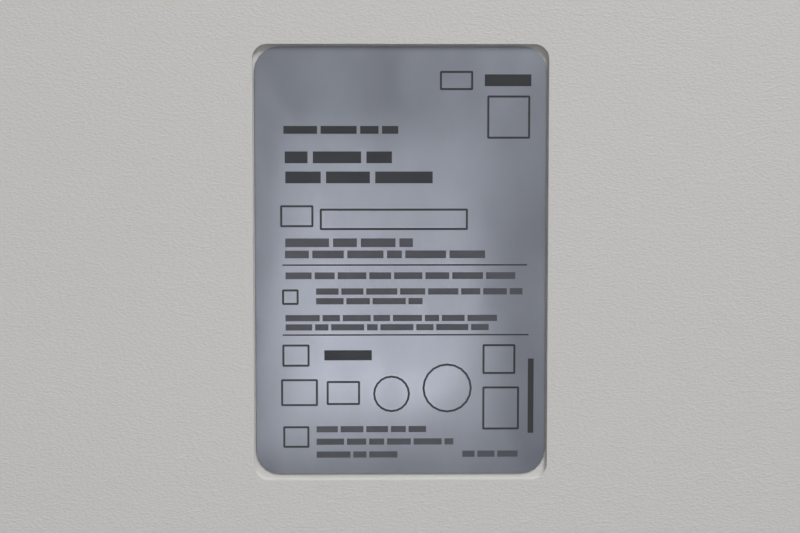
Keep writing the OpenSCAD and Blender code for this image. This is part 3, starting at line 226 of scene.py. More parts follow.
def grained_cover():
    """Moulded PC-ABS from a spark-eroded tool: an off-white, matt shell whose fine leather grain
    lies in short level wrinkles and breaks the light into a soft speckle."""
    cover = bpy.context.scene.sequencer_cover
    material, tree, principled = blank("moulded_pc_abs", cover.colour, 0.55, IOR=1.5)
    place = add(tree, "ShaderNodeTexCoord").outputs["Object"]
    level = add(tree, "ShaderNodeMapping", {"Vector": place, "Scale": (1.0, 1.0, 2.0)}).outputs["Vector"]
    warp = add(tree, "ShaderNodeTexNoise", {"Vector": level, "Scale": 0.45 / cover.grain, "Detail": 2.0})
    shift = add(tree, "ShaderNodeVectorMath", {0: warp.outputs["Color"], "Scale": 0.9 * cover.grain},
                operation="SCALE").outputs["Vector"]
    bent = add(tree, "ShaderNodeVectorMath", {0: level, 1: shift}, operation="ADD").outputs["Vector"]
    cells = add(tree, "ShaderNodeTexVoronoi", {"Vector": bent, "Scale": 1 / cover.grain, "Smoothness": 0.7},
                feature="SMOOTH_F1")
    fine = add(tree, "ShaderNodeTexNoise", {"Vector": bent, "Scale": 2.2 / cover.grain, "Detail": 4.0,
                                            "Roughness": 0.6})
    both = add(tree, "ShaderNodeMath", {0: fine.outputs["Fac"], 1: 0.8, 2: cells.outputs["Distance"]},
               operation="MULTIPLY_ADD")
    relief(tree, principled, both.outputs["Value"], cover.depth / MM)
    cloud = add(tree, "ShaderNodeTexNoise", {"Vector": place, "Scale": 1 / (90 * MM), "Detail": 2.0})
    dull = add(tree, "ShaderNodeMapRange", {"Value": cloud.outputs["Fac"], "From Min": 0.3, "From Max": 0.7,
                                            "To Min": 0.5, "To Max": 0.62})
    tree.links.new(dull.outputs["Result"], principled.inputs["Roughness"])
    return material


def moulded_plastic(name, dark, light, rough, grain_mm=0.6, depth_mm=0.012):
    """Injection-moulded plastic: an even colour, a fine spark grain and slightly uneven gloss."""
    material, tree, principled = blank(name, light, rough[1])
    place = spread(tree, principled, 60, dark, light, rough)
    grain = add(tree, "ShaderNodeTexNoise", {"Vector": place, "Scale": 1 / (grain_mm * MM), "Detail": 3.0})
    relief(tree, principled, grain.outputs["Fac"], depth_mm)
    return material


def galvanised_steel():
    """Hot-dip zinc on sheet: cool grey metal with flakes of differing gloss, about 9 mm across."""
    material, tree, principled = blank("galvanised_sheet_steel", "#A4A7AA", 0.44, Metallic=1.0)
    place = add(tree, "ShaderNodeTexCoord").outputs["Object"]
    flakes = add(tree, "ShaderNodeTexVoronoi", {"Vector": place, "Scale": 1 / (9 * MM)})
    shade = add(tree, "ShaderNodeSeparateColor", {"Color": flakes.outputs["Color"]}).outputs["Red"]
    gloss = add(tree, "ShaderNodeMapRange", {"Value": shade, "To Min": 0.42, "To Max": 0.48})
    tree.links.new(gloss.outputs["Result"], principled.inputs["Roughness"])
    tone = add(tree, "ShaderNodeMix", {0: shade}, data_type="RGBA")
    tone.inputs[6].default_value = linear("#A0A3A6")
    tone.inputs[7].default_value = linear("#ABAEB1")
    tree.links.new(tone.outputs[2], principled.inputs["Base Color"])
    return material


def worked_metal(name, dark, light, rough, line_mm, lay, depth_mm=0.004):
    """Metal that a cutter, belt or wheel has gone over: fine lines along one way, on a bright base.
    lay stretches the lines: a small number along the axis that they run in."""
    material, tree, principled = blank(name, light, rough[1], Metallic=1.0)
    place = spread(tree, principled, 25, dark, light, rough)
    along = add(tree, "ShaderNodeMapping", {"Vector": place, "Scale": lay}).outputs["Vector"]
    lines = add(tree, "ShaderNodeTexNoise", {"Vector": along, "Scale": 1 / (line_mm * MM), "Detail": 4.0})
    relief(tree, principled, lines.outputs["Fac"], depth_mm)
    return material


def powder_coat(name, dark, light, rough=(0.42, 0.55)):
    """Baked powder paint on steel: an even colour with a soft orange-peel skin, about 1.5 mm across."""
    material, tree, principled = blank(name, light, rough[1], Coat_Weight=0.15, Coat_Roughness=0.3)
    place = spread(tree, principled, 40, dark, light, rough)
    peel = add(tree, "ShaderNodeTexNoise", {"Vector": place, "Scale": 1 / (1.5 * MM), "Detail": 2.0})
    relief(tree, principled, peel.outputs["Fac"], 0.03)
    return material


def rubber(name, dark, light, pore_mm):
    """Moulded or foamed rubber: dull and soft, with fine pores that hold dust."""
    material, tree, principled = blank(name, light, 0.85, Specular_IOR_Level=0.3)
    place = spread(tree, principled, 12, dark, light, (0.75, 0.95))
    pores = add(tree, "ShaderNodeTexVoronoi", {"Vector": place, "Scale": 1 / (pore_mm * MM)})
    relief(tree, principled, pores.outputs["Distance"], 0.05)
    return material


def display_glass():
    """Chemically strengthened glass, printed black behind: a deep gloss with barely a trace of wiping."""
    material, tree, principled = blank("strengthened_glass", "#0B0C0E", 0.05, IOR=1.52, Coat_Weight=0.3)
    place = add(tree, "ShaderNodeTexCoord").outputs["Object"]
    wiped = add(tree, "ShaderNodeTexNoise", {"Vector": place, "Scale": 1 / (30 * MM), "Detail": 4.0})
    gloss = add(tree, "ShaderNodeMapRange", {"Value": wiped.outputs["Fac"], "To Min": 0.03, "To Max": 0.1})
    tree.links.new(gloss.outputs["Result"], principled.inputs["Roughness"])
    return material


def clear_plastic(name, dark, light, clear, rough=(0.12, 0.2)):
    """Polystyrene or polycarbonate that light passes into: milky in the mass, glossy on its skin."""
    material, tree, principled = blank(name, light, rough[1], Transmission_Weight=clear, IOR=1.57,
                                       Subsurface_Weight=0.2, Subsurface_Scale=2 * MM)
    spread(tree, principled, 20, dark, light, rough)
    return material


def circuit_board():
    """Glass-fibre board under green solder mask: glossy, with fine copper tracks showing as a relief."""
    material, tree, principled = blank("fibreglass_circuit_board", "#1D5B3C", 0.3, Coat_Weight=0.5)
    place = spread(tree, principled, 8, "#174A31", "#2A7350", (0.25, 0.4))
    tracks = add(tree, "ShaderNodeTexBrick", {"Vector": place, "Scale": 1 / (4 * MM), "Mortar Size": 0.06})
    relief(tree, principled, tracks.outputs["Fac"], 0.03)
    return material


def plate_film():
    """Satin polyester film over silver ink: a cool blue grey, clouded by a painted reflection in soft lighter
    and darker patches, with the faint waves of a film laid on by hand."""
    plate = bpy.context.scene.sequencer_plate
    material, tree, principled = blank("satin_polyester_film", plate.colour, plate.roughness, IOR=1.5,
                                       Metallic=0.45)
    dark = tuple(0.8 * part for part in plate.colour)
    light = tuple(1.12 * part + 0.02 for part in plate.colour)
    rough = (plate.roughness - 0.05, plate.roughness + 0.05)
    # Painted reflection: lighter and darker patches of colour, about 11 mm across, stand in for the room's
    # cloudy reflection in the film
    place = spread(tree, principled, 11, dark, light, rough, (1, 1, 0.6), 4.0)
    waves = add(tree, "ShaderNodeTexNoise", {"Vector": place, "Scale": 1 / (14 * MM), "Detail": 1.0})
    haze = add(tree, "ShaderNodeTexNoise", {"Vector": place, "Scale": 1 / (0.5 * MM), "Detail": 2.0})
    both = add(tree, "ShaderNodeMath", {0: haze.outputs["Fac"], 1: 0.04, 2: waves.outputs["Fac"]},
               operation="MULTIPLY_ADD")
    relief(tree, principled, both.outputs["Value"], 0.25)
    return material


def print_ink(name, colour):
    """Thermal-transfer ink on the film: flat and dense, a little thinner in places about 3 mm across."""
    material, tree, principled = blank(name, colour, 0.5, Specular_IOR_Level=0.25)
    spread(tree, principled, 3, colour, tuple(0.9 * part + 0.008 for part in colour), (0.45, 0.6))
    return material


def finishes():
    """One finish for each material slot of the record, made once."""
    plastic, metal = moulded_plastic, worked_metal
    return {
        # The matt outer shell with its leather grain
        "cover_plastic": grained_cover(),
        # The same plastic from a smooth tool: the grain stops there
        "grille_plastic": plastic("moulded_grille_abs", "#B4B2AF", "#BEBCB9", (0.42, 0.52)),
        # The plate's cool blue grey beside the warm cover, clouded by a painted reflection
        "label_film": plate_film(),
        # The chassis: frosty flakes wherever the covers open
        "zinc_steel": galvanised_steel(),
        # Ground shafts: bright, with fine lines round them
        "bright_steel": metal("ground_shaft_steel", "#B9BBBD", "#D2D4D5", (0.16, 0.26), 0.3, (1, 1, 1)),
        # Zinc-plated fasteners and brackets: bluish and a little cloudy
        "screw_steel": metal("zinc_plated_steel", "#8C8F94", "#A9ACB1", (0.28, 0.42), 0.5, (1, 0.3, 1)),
        # Feet and door seal: dull, soft and near black
        "foot_rubber": rubber("moulded_nitrile_rubber", "#1D1D1E", "#2C2C2D", 0.9),
        "seal_rubber": rubber("foamed_epdm_seal", "#26262A", "#39393D", 0.5),
        # The one deep gloss of the front
        "screen_glass": display_glass(),
        # Tinned sheet of the screen module: grey, with the rolling lines
        "screen_frame": metal("stamped_tin_frame", "#8F9498", "#A6ABAF", (0.35, 0.5), 1.0, (0.1, 1, 1)),
        # Turned and satin-blasted aluminium button
        "button_metal": metal("blasted_aluminium", "#B4B7BB", "#C6C9CC", (0.34, 0.44), 0.25, (1, 1, 1)),
        # The light ring round the button: frosted, a little blue
        "ring_plastic": clear_plastic("frosted_polycarbonate", "#DDE6EA", "#EEF5F8", 0.35, (0.35, 0.5)),
        # Dark inner mouldings: matt, so that the lit sampler stands out
        "liner_plastic": plastic("moulded_dark_abs", "#4B4E52", "#5C5F63", (0.55, 0.7), 0.8, 0.03),
        "dock_plastic": plastic("glass_filled_pps", "#5F6368", "#74787D", (0.45, 0.6), 0.5, 0.02),
        # The cartridge: white, behind a smoked cover
        "cartridge_plastic": plastic("polished_white_abs", "#E0DFDB", "#ECEBE7", (0.25, 0.34), 2.0, 0.004),
        "cartridge_clear": clear_plastic("smoked_polycarbonate", "#C4C9CD", "#D9DDE0", 0.15),
        # The blue grip says where to take hold
        "grip_plastic": plastic("soft_touch_blue_abs", "#356484", "#42789B", (0.4, 0.52), 0.5, 0.02),
        # Fused silica in its amber skin
        "capillary_glass": clear_plastic("polyimide_coated_silica", "#A97A2C", "#C9973F", 0.2),
        # The pump's black tip
        "plunger_rubber": rubber("moulded_plunger_rubber", "#252527", "#323234", 0.6),
        # Milled plates: grey metal with the cutter's lines along X
        "machined_aluminium": metal("clear_anodised_aluminium", "#93989D", "#A9AEB2", (0.34, 0.46), 0.5,
                                    (0.06, 1, 1)),
        # Inlet, switch and sockets: black and lightly grained
        "black_plastic": plastic("moulded_black_polyamide", "#1B1C1E", "#27282A", (0.42, 0.55)),
        # Motors: a thin black lacquer over their castings
        "motor_black": powder_coat("black_motor_lacquer", "#2A2C2F", "#383A3D"),
        # The nest: cut from solid, so its grain is fine
        "nest_plastic": plastic("machined_black_acetal", "#393C40", "#4A4D52", (0.42, 0.55), 0.4, 0.02),
        # The orange clamp shows where the plate is let go
        "clamp_plastic": plastic("moulded_orange_acetal", "#BE6E30", "#CE8040", (0.3, 0.42)),
        # Sample plate and reservoir: water-clear to milky
        "plate_plastic": clear_plastic("clear_polypropylene", "#D6E2E6", "#EAF2F4", 0.45),
        # The mat over the wells: dull and pale
        "mat_silicone": rubber("moulded_grey_silicone", "#B5B9BE", "#C8CCD0", 0.7),
        # Optical bench and laser: dark, so that no light strays
        "bench_casting": powder_coat("anodised_bench_casting", "#4C5054", "#5D6165"),
        "laser_black": metal("black_anodised_aluminium", "#222427", "#303236", (0.38, 0.5), 0.4,
                             (1, 0.06, 1)),
        # The high-voltage module, brown red for its danger
        "module_red": powder_coat("red_oxide_paint", "#6B382F", "#7D453B"),
        # The power supply's painted case
        "supply_steel": powder_coat("pale_grey_paint", "#AEB2B6", "#BCC0C4"),
        # The main board
        "board_green": circuit_board(),
    }


# Shapes


def rounded(node, width_mm, finish, segments=2):
    """A CAD node with its loose triangles joined, its flat faces made whole and its edges rounded.
    Faces square to the frame are shaded flat, so that the curves beside them don't tint them."""
    source = nodes[node]
    form = bmesh.new()
    form.from_mesh(source.data)
    bmesh.ops.remove_doubles(form, verts=form.verts, dist=0.002 * MM)
    bmesh.ops.dissolve_limit(form, angle_limit=math.radians(0.3), verts=form.verts, edges=form.edges)
    mesh = bpy.data.meshes.new(node + "_rounded")
    form.to_mesh(mesh)
    form.free()
    facing = np.empty(3 * len(mesh.polygons), np.float32)
    mesh.polygons.foreach_get("normal", facing)
    square = np.abs(facing.reshape(-1, 3)).max(axis=1) > 0.999999
    mesh.polygons.foreach_set("use_smooth", ~square)
    piece = bpy.data.objects.new(node + "_rounded", mesh)
    bpy.context.scene.collection.objects.link(piece)
    bevel = piece.modifiers.new("edges", "BEVEL")
    bevel.width = width_mm * MM
    bevel.segments = segments
    bevel.limit_method = "ANGLE"
    bevel.angle_limit = math.radians(32)
    bevel.use_clamp_overlap = True
    bevel.harden_normals = True
    mesh.materials.append(finish)
    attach(piece, source["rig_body"])
    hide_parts(node)
    return piece


def dress(node, finish):
    """Gives a CAD node that stays as it is its finish."""
    mesh = nodes[node].data
    mesh.materials.clear()
    mesh.materials.append(finish)


def build(name, corners, faces, finish, body, smooth=True):
    """A new piece from its corners and faces, as arrays, riding on a body. Corners that fall together
    are merged, and the normals are turned outward."""
    mesh = bpy.data.meshes.new(name)
    mesh.from_pydata(np.asarray(corners, float).reshape(-1, 3).tolist(), [], np.asarray(faces).tolist())
    form = bmesh.new()
    form.from_mesh(mesh)
    bmesh.ops.remove_doubles(form, verts=form.verts, dist=0.001 * MM)
    bmesh.ops.recalc_face_normals(form, faces=form.faces)
    form.to_mesh(mesh)
    form.free()
    mesh.polygons.foreach_set("use_smooth", np.full(len(mesh.polygons), smooth))
    mesh.update()
    mesh.materials.append(finish)
    piece = bpy.data.objects.new(name, mesh)
    bpy.context.scene.collection.objects.link(piece)
    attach(piece, body)
    return piece


def grid_faces(rows, columns, round_rows=False):
    """The four-sided faces of a grid of points whose columns close into a ring, and its rows too where
    round_rows says so."""
    i, j = np.meshgrid(np.arange(rows if round_rows else rows - 1), np.arange(columns), indexing="ij")
    nexti, nextj = (i + 1) % rows, (j + 1) % columns
    corners = [i * columns + j, i * columns + nextj, nexti * columns + nextj, nexti * columns + j]
    return np.stack(corners, axis=-1).reshape(-1, 4)


def joined(parts):
    """One array of corners and one of faces from several pairs of them."""
    starts = np.cumsum([0] + [len(corners) for corners, faces in parts[:-1]])
    corners = np.concatenate([corners for corners, faces in parts])
    faces = np.concatenate([faces + start for (_, faces), start in zip(parts, starts)])
    return corners, faces


def loop(width, height, radius):
    """A rounded rectangle about the middle: four quarter circles, each at its own corner."""
    turn = np.linspace(0, np.pi / 2, CORNER_STEPS)[None] + np.arange(4)[:, None] * np.pi / 2
    side = np.array([[1, 1], [-1, 1], [-1, -1], [1, -1]])
    middle = side * (np.array([width, height]) / 2 - radius)
    return (middle[:, None] + radius * np.stack([np.cos(turn), np.sin(turn)], axis=-1)).reshape(-1, 2)


def swept(width, height, radius, section):
    """The rings of a section, a list of insets and heights, carried round a rounded rectangle."""
    return [np.column_stack([loop(width - 2 * d, height - 2 * d, max(radius - d, 0.02 * MM)),
                             np.full(4 * CORNER_STEPS, h)]) for d, h in section]


def slab(width, height, radius, thick, edge):
    """A thin plate with rounded corners and a small round edge: the outline, drawn in towards the
    middle, is carried from the back face over the edge and in across the front face."""
    turn = np.linspace(0, np.pi / 2, 4)
    inset = np.concatenate([[0], edge * (1 - np.cos(turn))])
    height_of = np.concatenate([[0], thick - edge + edge * np.sin(turn)])
    rings = swept(width, height, radius, zip(inset, height_of))
    rings = [rings[0] * [0, 0, 1], *rings, rings[-1] * [0.5, 0.5, 1], rings[-1] * [0, 0, 1]]
    return np.concatenate(rings), grid_faces(len(rings), 4 * CORNER_STEPS)


def on_rear(corners, x, y, z):
    """Turns a shape drawn flat (right, up, out) to the rear, where right is towards -X and out is +Y."""
    return np.column_stack([x - corners[:, 0], y + corners[:, 2], z + corners[:, 1]])


def closed(rings):
    """The rings of a swept section with both ends shut: each end ring is drawn in to its middle."""
    first, last = (ring.mean(axis=1, keepdims=True) + 0 * ring for ring in (rings[:1], rings[-1:]))
    return np.concatenate([first, rings, last])


def outline(width, height, radius, line, thick):
    """A drawn frame: a rectangular section, line wide and thick high, carried round a rounded rectangle."""
    rings = swept(width, height, radius, ((0, 0), (0, thick), (line, thick), (line, 0)))
    return np.concatenate(rings), grid_faces(4, 4 * CORNER_STEPS, round_rows=True)


def lead_thread(core, crest, lead, starts, length, sides=40):
    """A screw of several starts: the radius at a height h and angle a is the core's, plus the thread's
    depth times a wave of (h / lead - a / turn) times the starts, with its flanks cut flat. It runs out
    over 2 mm at both ends."""
    pitch = lead / starts
    stations = np.linspace(0, length, int(length / pitch * 10))[:, None]
    angle = (np.arange(sides) * 2 * np.pi / sides)[None]
    wave = np.cos(2 * np.pi * starts * (stations / lead - angle / (2 * np.pi)))
    ends = np.clip(np.minimum(stations, length - stations) / (2 * MM), 0, 1)
    radius = core + (crest - core) * ends * (0.5 + 0.5 * np.clip(1.8 * wave, -1, 1))
    rings = np.stack([radius * np.cos(angle), radius * np.sin(angle), stations + 0 * angle], axis=-1)
    rings = np.concatenate([rings[:1] * [0, 0, 1], rings, rings[-1:] * [0, 0, 1]])
    return rings.reshape(-1, 3), grid_faces(len(rings), sides)


# Sizes and colours that a user would change


# What settings of one kind share
COLOUR = {"subtype": "COLOR", "size": 3, "min": 0, "max": 1}
LENGTH = {"subtype": "DISTANCE", "unit": "LENGTH"}
ANGLE = {"subtype": "ANGLE", "unit": "ROTATION"}


class CoverSettings(bpy.types.PropertyGroup):
    """The moulded covers."""

    colour: bpy.props.FloatVectorProperty(
        name="Colour", description="Colour of the moulded covers", default=linear("#C4C3C1")[:3], **COLOUR)
    grain: bpy.props.FloatProperty(
        name="Grain", description="Width of a wrinkle of the leather grain", default=0.75 * MM,
        min=0.2 * MM, max=4 * MM, precision=5, **LENGTH)
    depth: bpy.props.FloatProperty(
        name="Grain depth", description="Depth of the leather grain", default=0.058 * MM, min=0,
        max=0.5 * MM, precision=6, **LENGTH)
    edge: bpy.props.FloatProperty(
        name="Edge radius", description="Radius of the covers' edges", default=0.5 * MM,
        min=0.1 * MM, max=1 * MM, precision=5, **LENGTH)


class PlateSettings(bpy.types.PropertyGroup):
    """The rating plate."""

    colour: bpy.props.FloatVectorProperty(
        name="Colour", description="Colour of the plate's film", default=linear("#6F737D")[:3], **COLOUR)
    roughness: bpy.props.FloatProperty(
        name="Roughness", description="Roughness of the plate's film", default=0.36, min=0.05, max=1)
    ink: bpy.props.FloatVectorProperty(
        name="Ink", description="Colour of the rules and frames", default=linear("#22242A")[:3], **COLOUR)
    rule: bpy.props.FloatProperty(
        name="Rule", description="Width of the printed rules", default=0.28 * MM, min=0.1 * MM,
        max=1 * MM, precision=5, **LENGTH)
    shift: bpy.props.FloatProperty(
        name="Shift", description="How far above the middle of its recess the film was laid",
        default=0.3 * MM, min=-0.6 * MM, max=0.6 * MM, precision=6, **LENGTH)


class SamplerSettings(bpy.types.PropertyGroup):
    """The sampler's lead screws."""

    lead: bpy.props.FloatProperty(
        name="Lead", description="How far a nut travels for one turn of its screw", default=20 * MM,
        min=2 * MM, max=40 * MM, **LENGTH)
    starts: bpy.props.IntProperty(
        name="Starts", description="Threads side by side on a screw", default=5, min=1, max=8)
    depth: bpy.props.FloatProperty(
        name="Thread depth", description="Depth of the screws' thread", default=0.8 * MM, min=0.1 * MM,
        max=2 * MM, precision=5, **LENGTH)


class StudioSettings(bpy.types.PropertyGroup):
    """The studio and the camera."""

    distance: bpy.props.FloatProperty(
        name="Distance", description="Camera to the rear cover", default=342.4 * MM, min=0.1, max=5,
        **LENGTH)
    elevation: bpy.props.FloatProperty(
        name="Elevation", description="How far the camera looks down", default=math.radians(4.1),
        min=-0.5, max=1.5, **ANGLE)
    side: bpy.props.FloatProperty(
        name="Side", description="How far the camera stands to the viewer's left",
        default=math.radians(1.0), min=-1.5, max=1.5, **ANGLE)
    lens: bpy.props.FloatProperty(
        name="Lens", description="Focal length in millimetres on a 36 mm frame", default=75.0, min=10,
        max=300)
    floor: bpy.props.FloatVectorProperty(
        name="Floor", description="Colour of the floor", default=linear("#E6E6E4")[:3], **COLOUR)
    sky: bpy.props.FloatProperty(
        name="Sky", description="Strength of the light from all round", default=0.3, min=0, max=2)
    mirror: bpy.props.FloatProperty(
        name="Mirror", description="How bright the room is in reflections", default=0.85, min=0, max=2)
    bounce: bpy.props.FloatProperty(
        name="Bounce", description="How much of its colour the floor throws back", default=0.3, min=0,
        max=1)
    roll: bpy.props.FloatProperty(
        name="Roll", description="How far the camera is rolled", default=0.0, min=-0.5, max=0.5,
        **ANGLE)


# Groups of pieces


def round_all(widths):
    """Rounds the edges of several nodes, each by its own width in millimetres."""
    for node, width in widths:
        rounded(node, width, made[slot_of[node]])


def boxes(middles, sizes):
    """Plain boxes: the eight corners of a unit cube times each size, about each middle."""
    cube = np.array([[x, y, z] for z in (-0.5, 0.5) for y in (-0.5, 0.5) for x in (-0.5, 0.5)])
    faces = np.array([[0, 2, 3, 1], [4, 5, 7, 6], [0, 1, 5, 4], [2, 6, 7, 3], [0, 4, 6, 2], [1, 3, 7, 5]])
    middles, sizes = np.asarray(middles, float), np.asarray(sizes, float)
    corners = (middles[:, None] + cube[None] * sizes[:, None]).reshape(-1, 3)
    return corners, (faces[None] + 8 * np.arange(len(middles))[:, None, None]).reshape(-1, 4)


def plate_bars(areas, plate_size):
    """Printed bars on the plate: areas are (right, down, width, height) from its top left, in metres."""
    areas = np.asarray(areas, float)
    right = areas[:, 0] + areas[:, 2] / 2 - plate_size[0] / 2
    up = plate_size[1] / 2 - areas[:, 1] - areas[:, 3] / 2
    middles = np.column_stack([right, up, np.full(len(areas), INK_THICK / 2)])
    return boxes(middles, np.column_stack([areas[:, 2:], np.full(len(areas), INK_THICK)]))


def word_bars(rows, seed):
    """Cuts rows (right, down, width, height) into bars as long as words, with a space of 0.45 heights."""
    chance = np.random.default_rng(seed)
    bars = []
    for right, down, width, height in rows:
        lengths = chance.uniform(1.6, 5.5, 40) * height
        ends = np.cumsum(lengths + 0.45 * height)
        starts = ends - lengths
        inside = starts < width - 1.2 * height
        for start, end in zip(starts[inside], np.minimum(ends[inside], width)):
            bars.append((right + start, down, end - start, height))
    return bars


def plate_outlines(fields, plate_size, line, radius=None):
    """Printed frames on the plate round fields (right, down, width, height), rings where no radius is
    given."""
    parts = []
    for right, down, width, height in fields:
        r = min(width, height) / 2 if radius is None else radius
        corners, faces = outline(width, height, r, line, INK_THICK)
        shift = [right + width / 2 - plate_size[0] / 2, plate_size[1] / 2 - down - height / 2, 0]
        parts.append((corners + shift, faces))
    return joined(parts)


def rating_plate(plate):
    """The film and, a hair proud of it, the print: rules, blank fields, rings and rows of bars."""
    low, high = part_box("rating_plate")
    middle = (Vector(low) + Vector(high)) / 2 + Vector((0, 0, plate.shift))
    size = (high[0] - low[0], high[2] - low[2])
    corners, faces = slab(size[0], size[1], FILM_CORNER, high[1] - low[1], FILM_EDGE)
    film = build("rating_plate_film", on_rear(corners, middle.x, low[1], middle.z), faces, made["label_film"],
                 "chassis")
    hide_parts("rating_plate")
    lift = high[1] - INK_SUNK
    rules = [(right, down, width, plate.rule) for right, down, width in np.array(PLATE_RULES) * MM]
    frame_line = 1.5 * plate.rule
    dark = joined([
        plate_bars(rules, size),
        plate_bars(np.array(PLATE_MARKS) * MM, size),
        plate_outlines(np.array(PLATE_FIELDS) * MM, size, frame_line, 0.3 * MM),
        plate_outlines(np.array(PLATE_RINGS) * MM, size, frame_line),
        plate_bars(word_bars(np.array(PLATE_HEADS) * MM, 4), size)])
    grey = plate_bars(word_bars(np.array(PLATE_ROWS) * MM, 9), size)
    deep = tuple(plate.ink)
    thin = tuple(0.7 * a + 0.3 * b for a, b in zip(deep, plate.colour))
    for name, shape, finish in (("plate_rules_and_fields", dark, print_ink("thermal_transfer_ink", deep)),
                                ("plate_rows", grey, print_ink("thin_thermal_ink", thin))):
        build(name, on_rear(shape[0], middle.x, lift, middle.z), shape[1], finish, "chassis",
              smooth=False)


def on_rocker(corners, shift, joint):
    """Lays a flat shape (right, up, out) on the rocker's shallow V, tilted as the switch rests."""
    pivot, tilt = joint["pos_m"], math.radians(joint["range_deg"][1] / 2)
    up = corners[:, 1] + shift
    out = ROCKER_VALLEY + ROCKER_RISE * np.abs(up) + corners[:, 2]
    return np.column_stack([pivot[0] - corners[:, 0],
                            pivot[1] + out * math.cos(tilt) - up * math.sin(tilt),
                            pivot[2] + out * math.sin(tilt) + up * math.cos(tilt)])


def switch_marks():
    """The two marks of the mains switch, a bar and a ring, filled white in the rocker's faces."""
    joint = joint_of["rocker_tilt"]
    white = print_ink("white_mark_filling", linear("#D6D6D3")[:3])
    size, thick, place = 5 * MM, 0.12 * MM, 7.6 * MM
    bar = boxes([[0, 0, 0]], [[0.9 * MM, size, thick]])
    ring = outline(size, size, size / 2, 0.7 * MM, thick / 2)
    for name, (corners, faces), shift in (("switch_bar", bar, place), ("switch_ring", ring, -place)):
        build(name, on_rocker(corners, shift, joint), faces, white, "rocker", smooth=False)


def port_insides():
    """The sockets' black insulators, and the network socket's eight gilt contacts: each is a square wire
    carried along a bent path, level under the roof, round a small bow and back down at a slant."""
    low, high = (np.array(corner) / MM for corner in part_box("data_ports"))
    sheet, inlet, service = low[1] + BOARD_DEPTH, low[2] + BOARD_DROP, high[0] - BOARD_EDGE
    net = (low[0] + BOARD_EDGE, inlet + NET_RISE)
    back = sheet - SOCKET_BACK
    width, height, depth, wall = NET_LINING
    corners, faces = outline(width * MM, height * MM, 0.3 * MM, wall * MM, depth * MM)
    lining = (on_rear(corners, net[0] * MM, back * MM, net[1] * MM), faces)
    end = boxes(np.array([[net[0], back + 0.2, net[1]]]) * MM,
                np.array([[width - 0.1, 0.4, height - 0.1]]) * MM)
    tongues = boxes(np.array([[service, back + TONGUE[1] / 2, inlet + rise] for rise in SERVICE_RISES]) * MM,
                    np.array([TONGUE]) * MM)
    corners, faces = joined([lining, end, tongues])
    build("socket_insulators", corners, faces, made["black_plastic"], "chassis",
          smooth=False)
    path = np.array(CONTACT_PATH)
    way = np.gradient(path, axis=0)
    way /= np.linalg.norm(way, axis=1, keepdims=True)
    across = np.column_stack([-way[:, 1], way[:, 0]])
    side = CONTACT_HALF * np.array([[-1, 1, 1, -1]]) + 0 * path[:, :1]
    bent = path[:, None] + CONTACT_HALF * np.array([-1, -1, 1, 1])[None, :, None] * across[:, None]
    wire = closed(np.concatenate([side[..., None], bent], axis=-1)).reshape(-1, 3)
    steps = (np.arange(8) - 3.5) * CONTACT_PITCH
    places = np.column_stack([net[0] + steps, np.full(8, sheet), np.full(8, net[1])])
    faces = grid_faces(len(path) + 2, 4)[None] + len(wire) * np.arange(8)[:, None, None]
    build("network_contacts", (wire[None] + places[:, None]) * MM, faces.reshape(-1, 4),
          worked_metal("gold_plated_bronze", "#B8923E", "#D2AE5C", (0.22, 0.32), 0.3, (1, 1, 1)), "chassis",
          smooth=False)


def button_mark(plate):
    """The standby sign on the button: an open ring, and a bar that stands in its gap."""
    low, high = (Vector(corner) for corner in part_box("power_button"))
    inward = Vector(joint_of["button_press"]["axis"]).normalized()
    up = Vector((0, -inward.z, inward.y))
    face = Vector(((low.x + high.x) / 2, low.y + (high.x - low.x) / 2 * inward.z, (low.z + high.z) / 2))
    line, thick, radius = 0.55 * MM, 0.04 * MM, 2.6 * MM
    angle = np.linspace(math.radians(128), math.radians(412), 40)[:, None]
    out = np.array([[0, thick, thick, 0]])
    reach = np.array([[line, line, -line, -line]]) / 2 + radius
    rings = closed(np.stack([reach * np.cos(angle), reach * np.sin(angle), out + 0 * angle], axis=-1))
    arc = (rings.reshape(-1, 3), grid_faces(len(rings), 4))
    bar = boxes([[0, 0.85 * radius, thick / 2]], [[line, 1.1 * radius, thick]])
    corners, faces = joined([arc, bar])
    axes = np.array([(1, 0, 0), up, -inward])
    build("button_mark", np.array(face) - 0.005 * MM * axes[2] + corners @ axes, faces,
          print_ink("button_mark_ink", tuple(plate.ink)), "button", smooth=False)


def lead_screws(sampler):
    """Both lead screws, cut along their whole length, in place of the frame's plain rods."""
    for node, order in (("y_screw", (1, 2, 0)), ("x_screw", (2, 0, 1))):
        low, high = (np.array(corner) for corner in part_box(node))
        along = order.index(2)
        across = (along + 1) % 3
        length = high[along] - low[along]
        crest = (high[across] - low[across]) / 2
        corners, faces = lead_thread(crest - sampler.depth, crest, sampler.lead, sampler.starts, length)
        foot = (low + high) / 2
        foot[along] = low[along]
        slot = slot_of[node]
        piece = build(node + "_thread", corners[:, order] + foot, faces, made[slot], node)
        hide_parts(node)


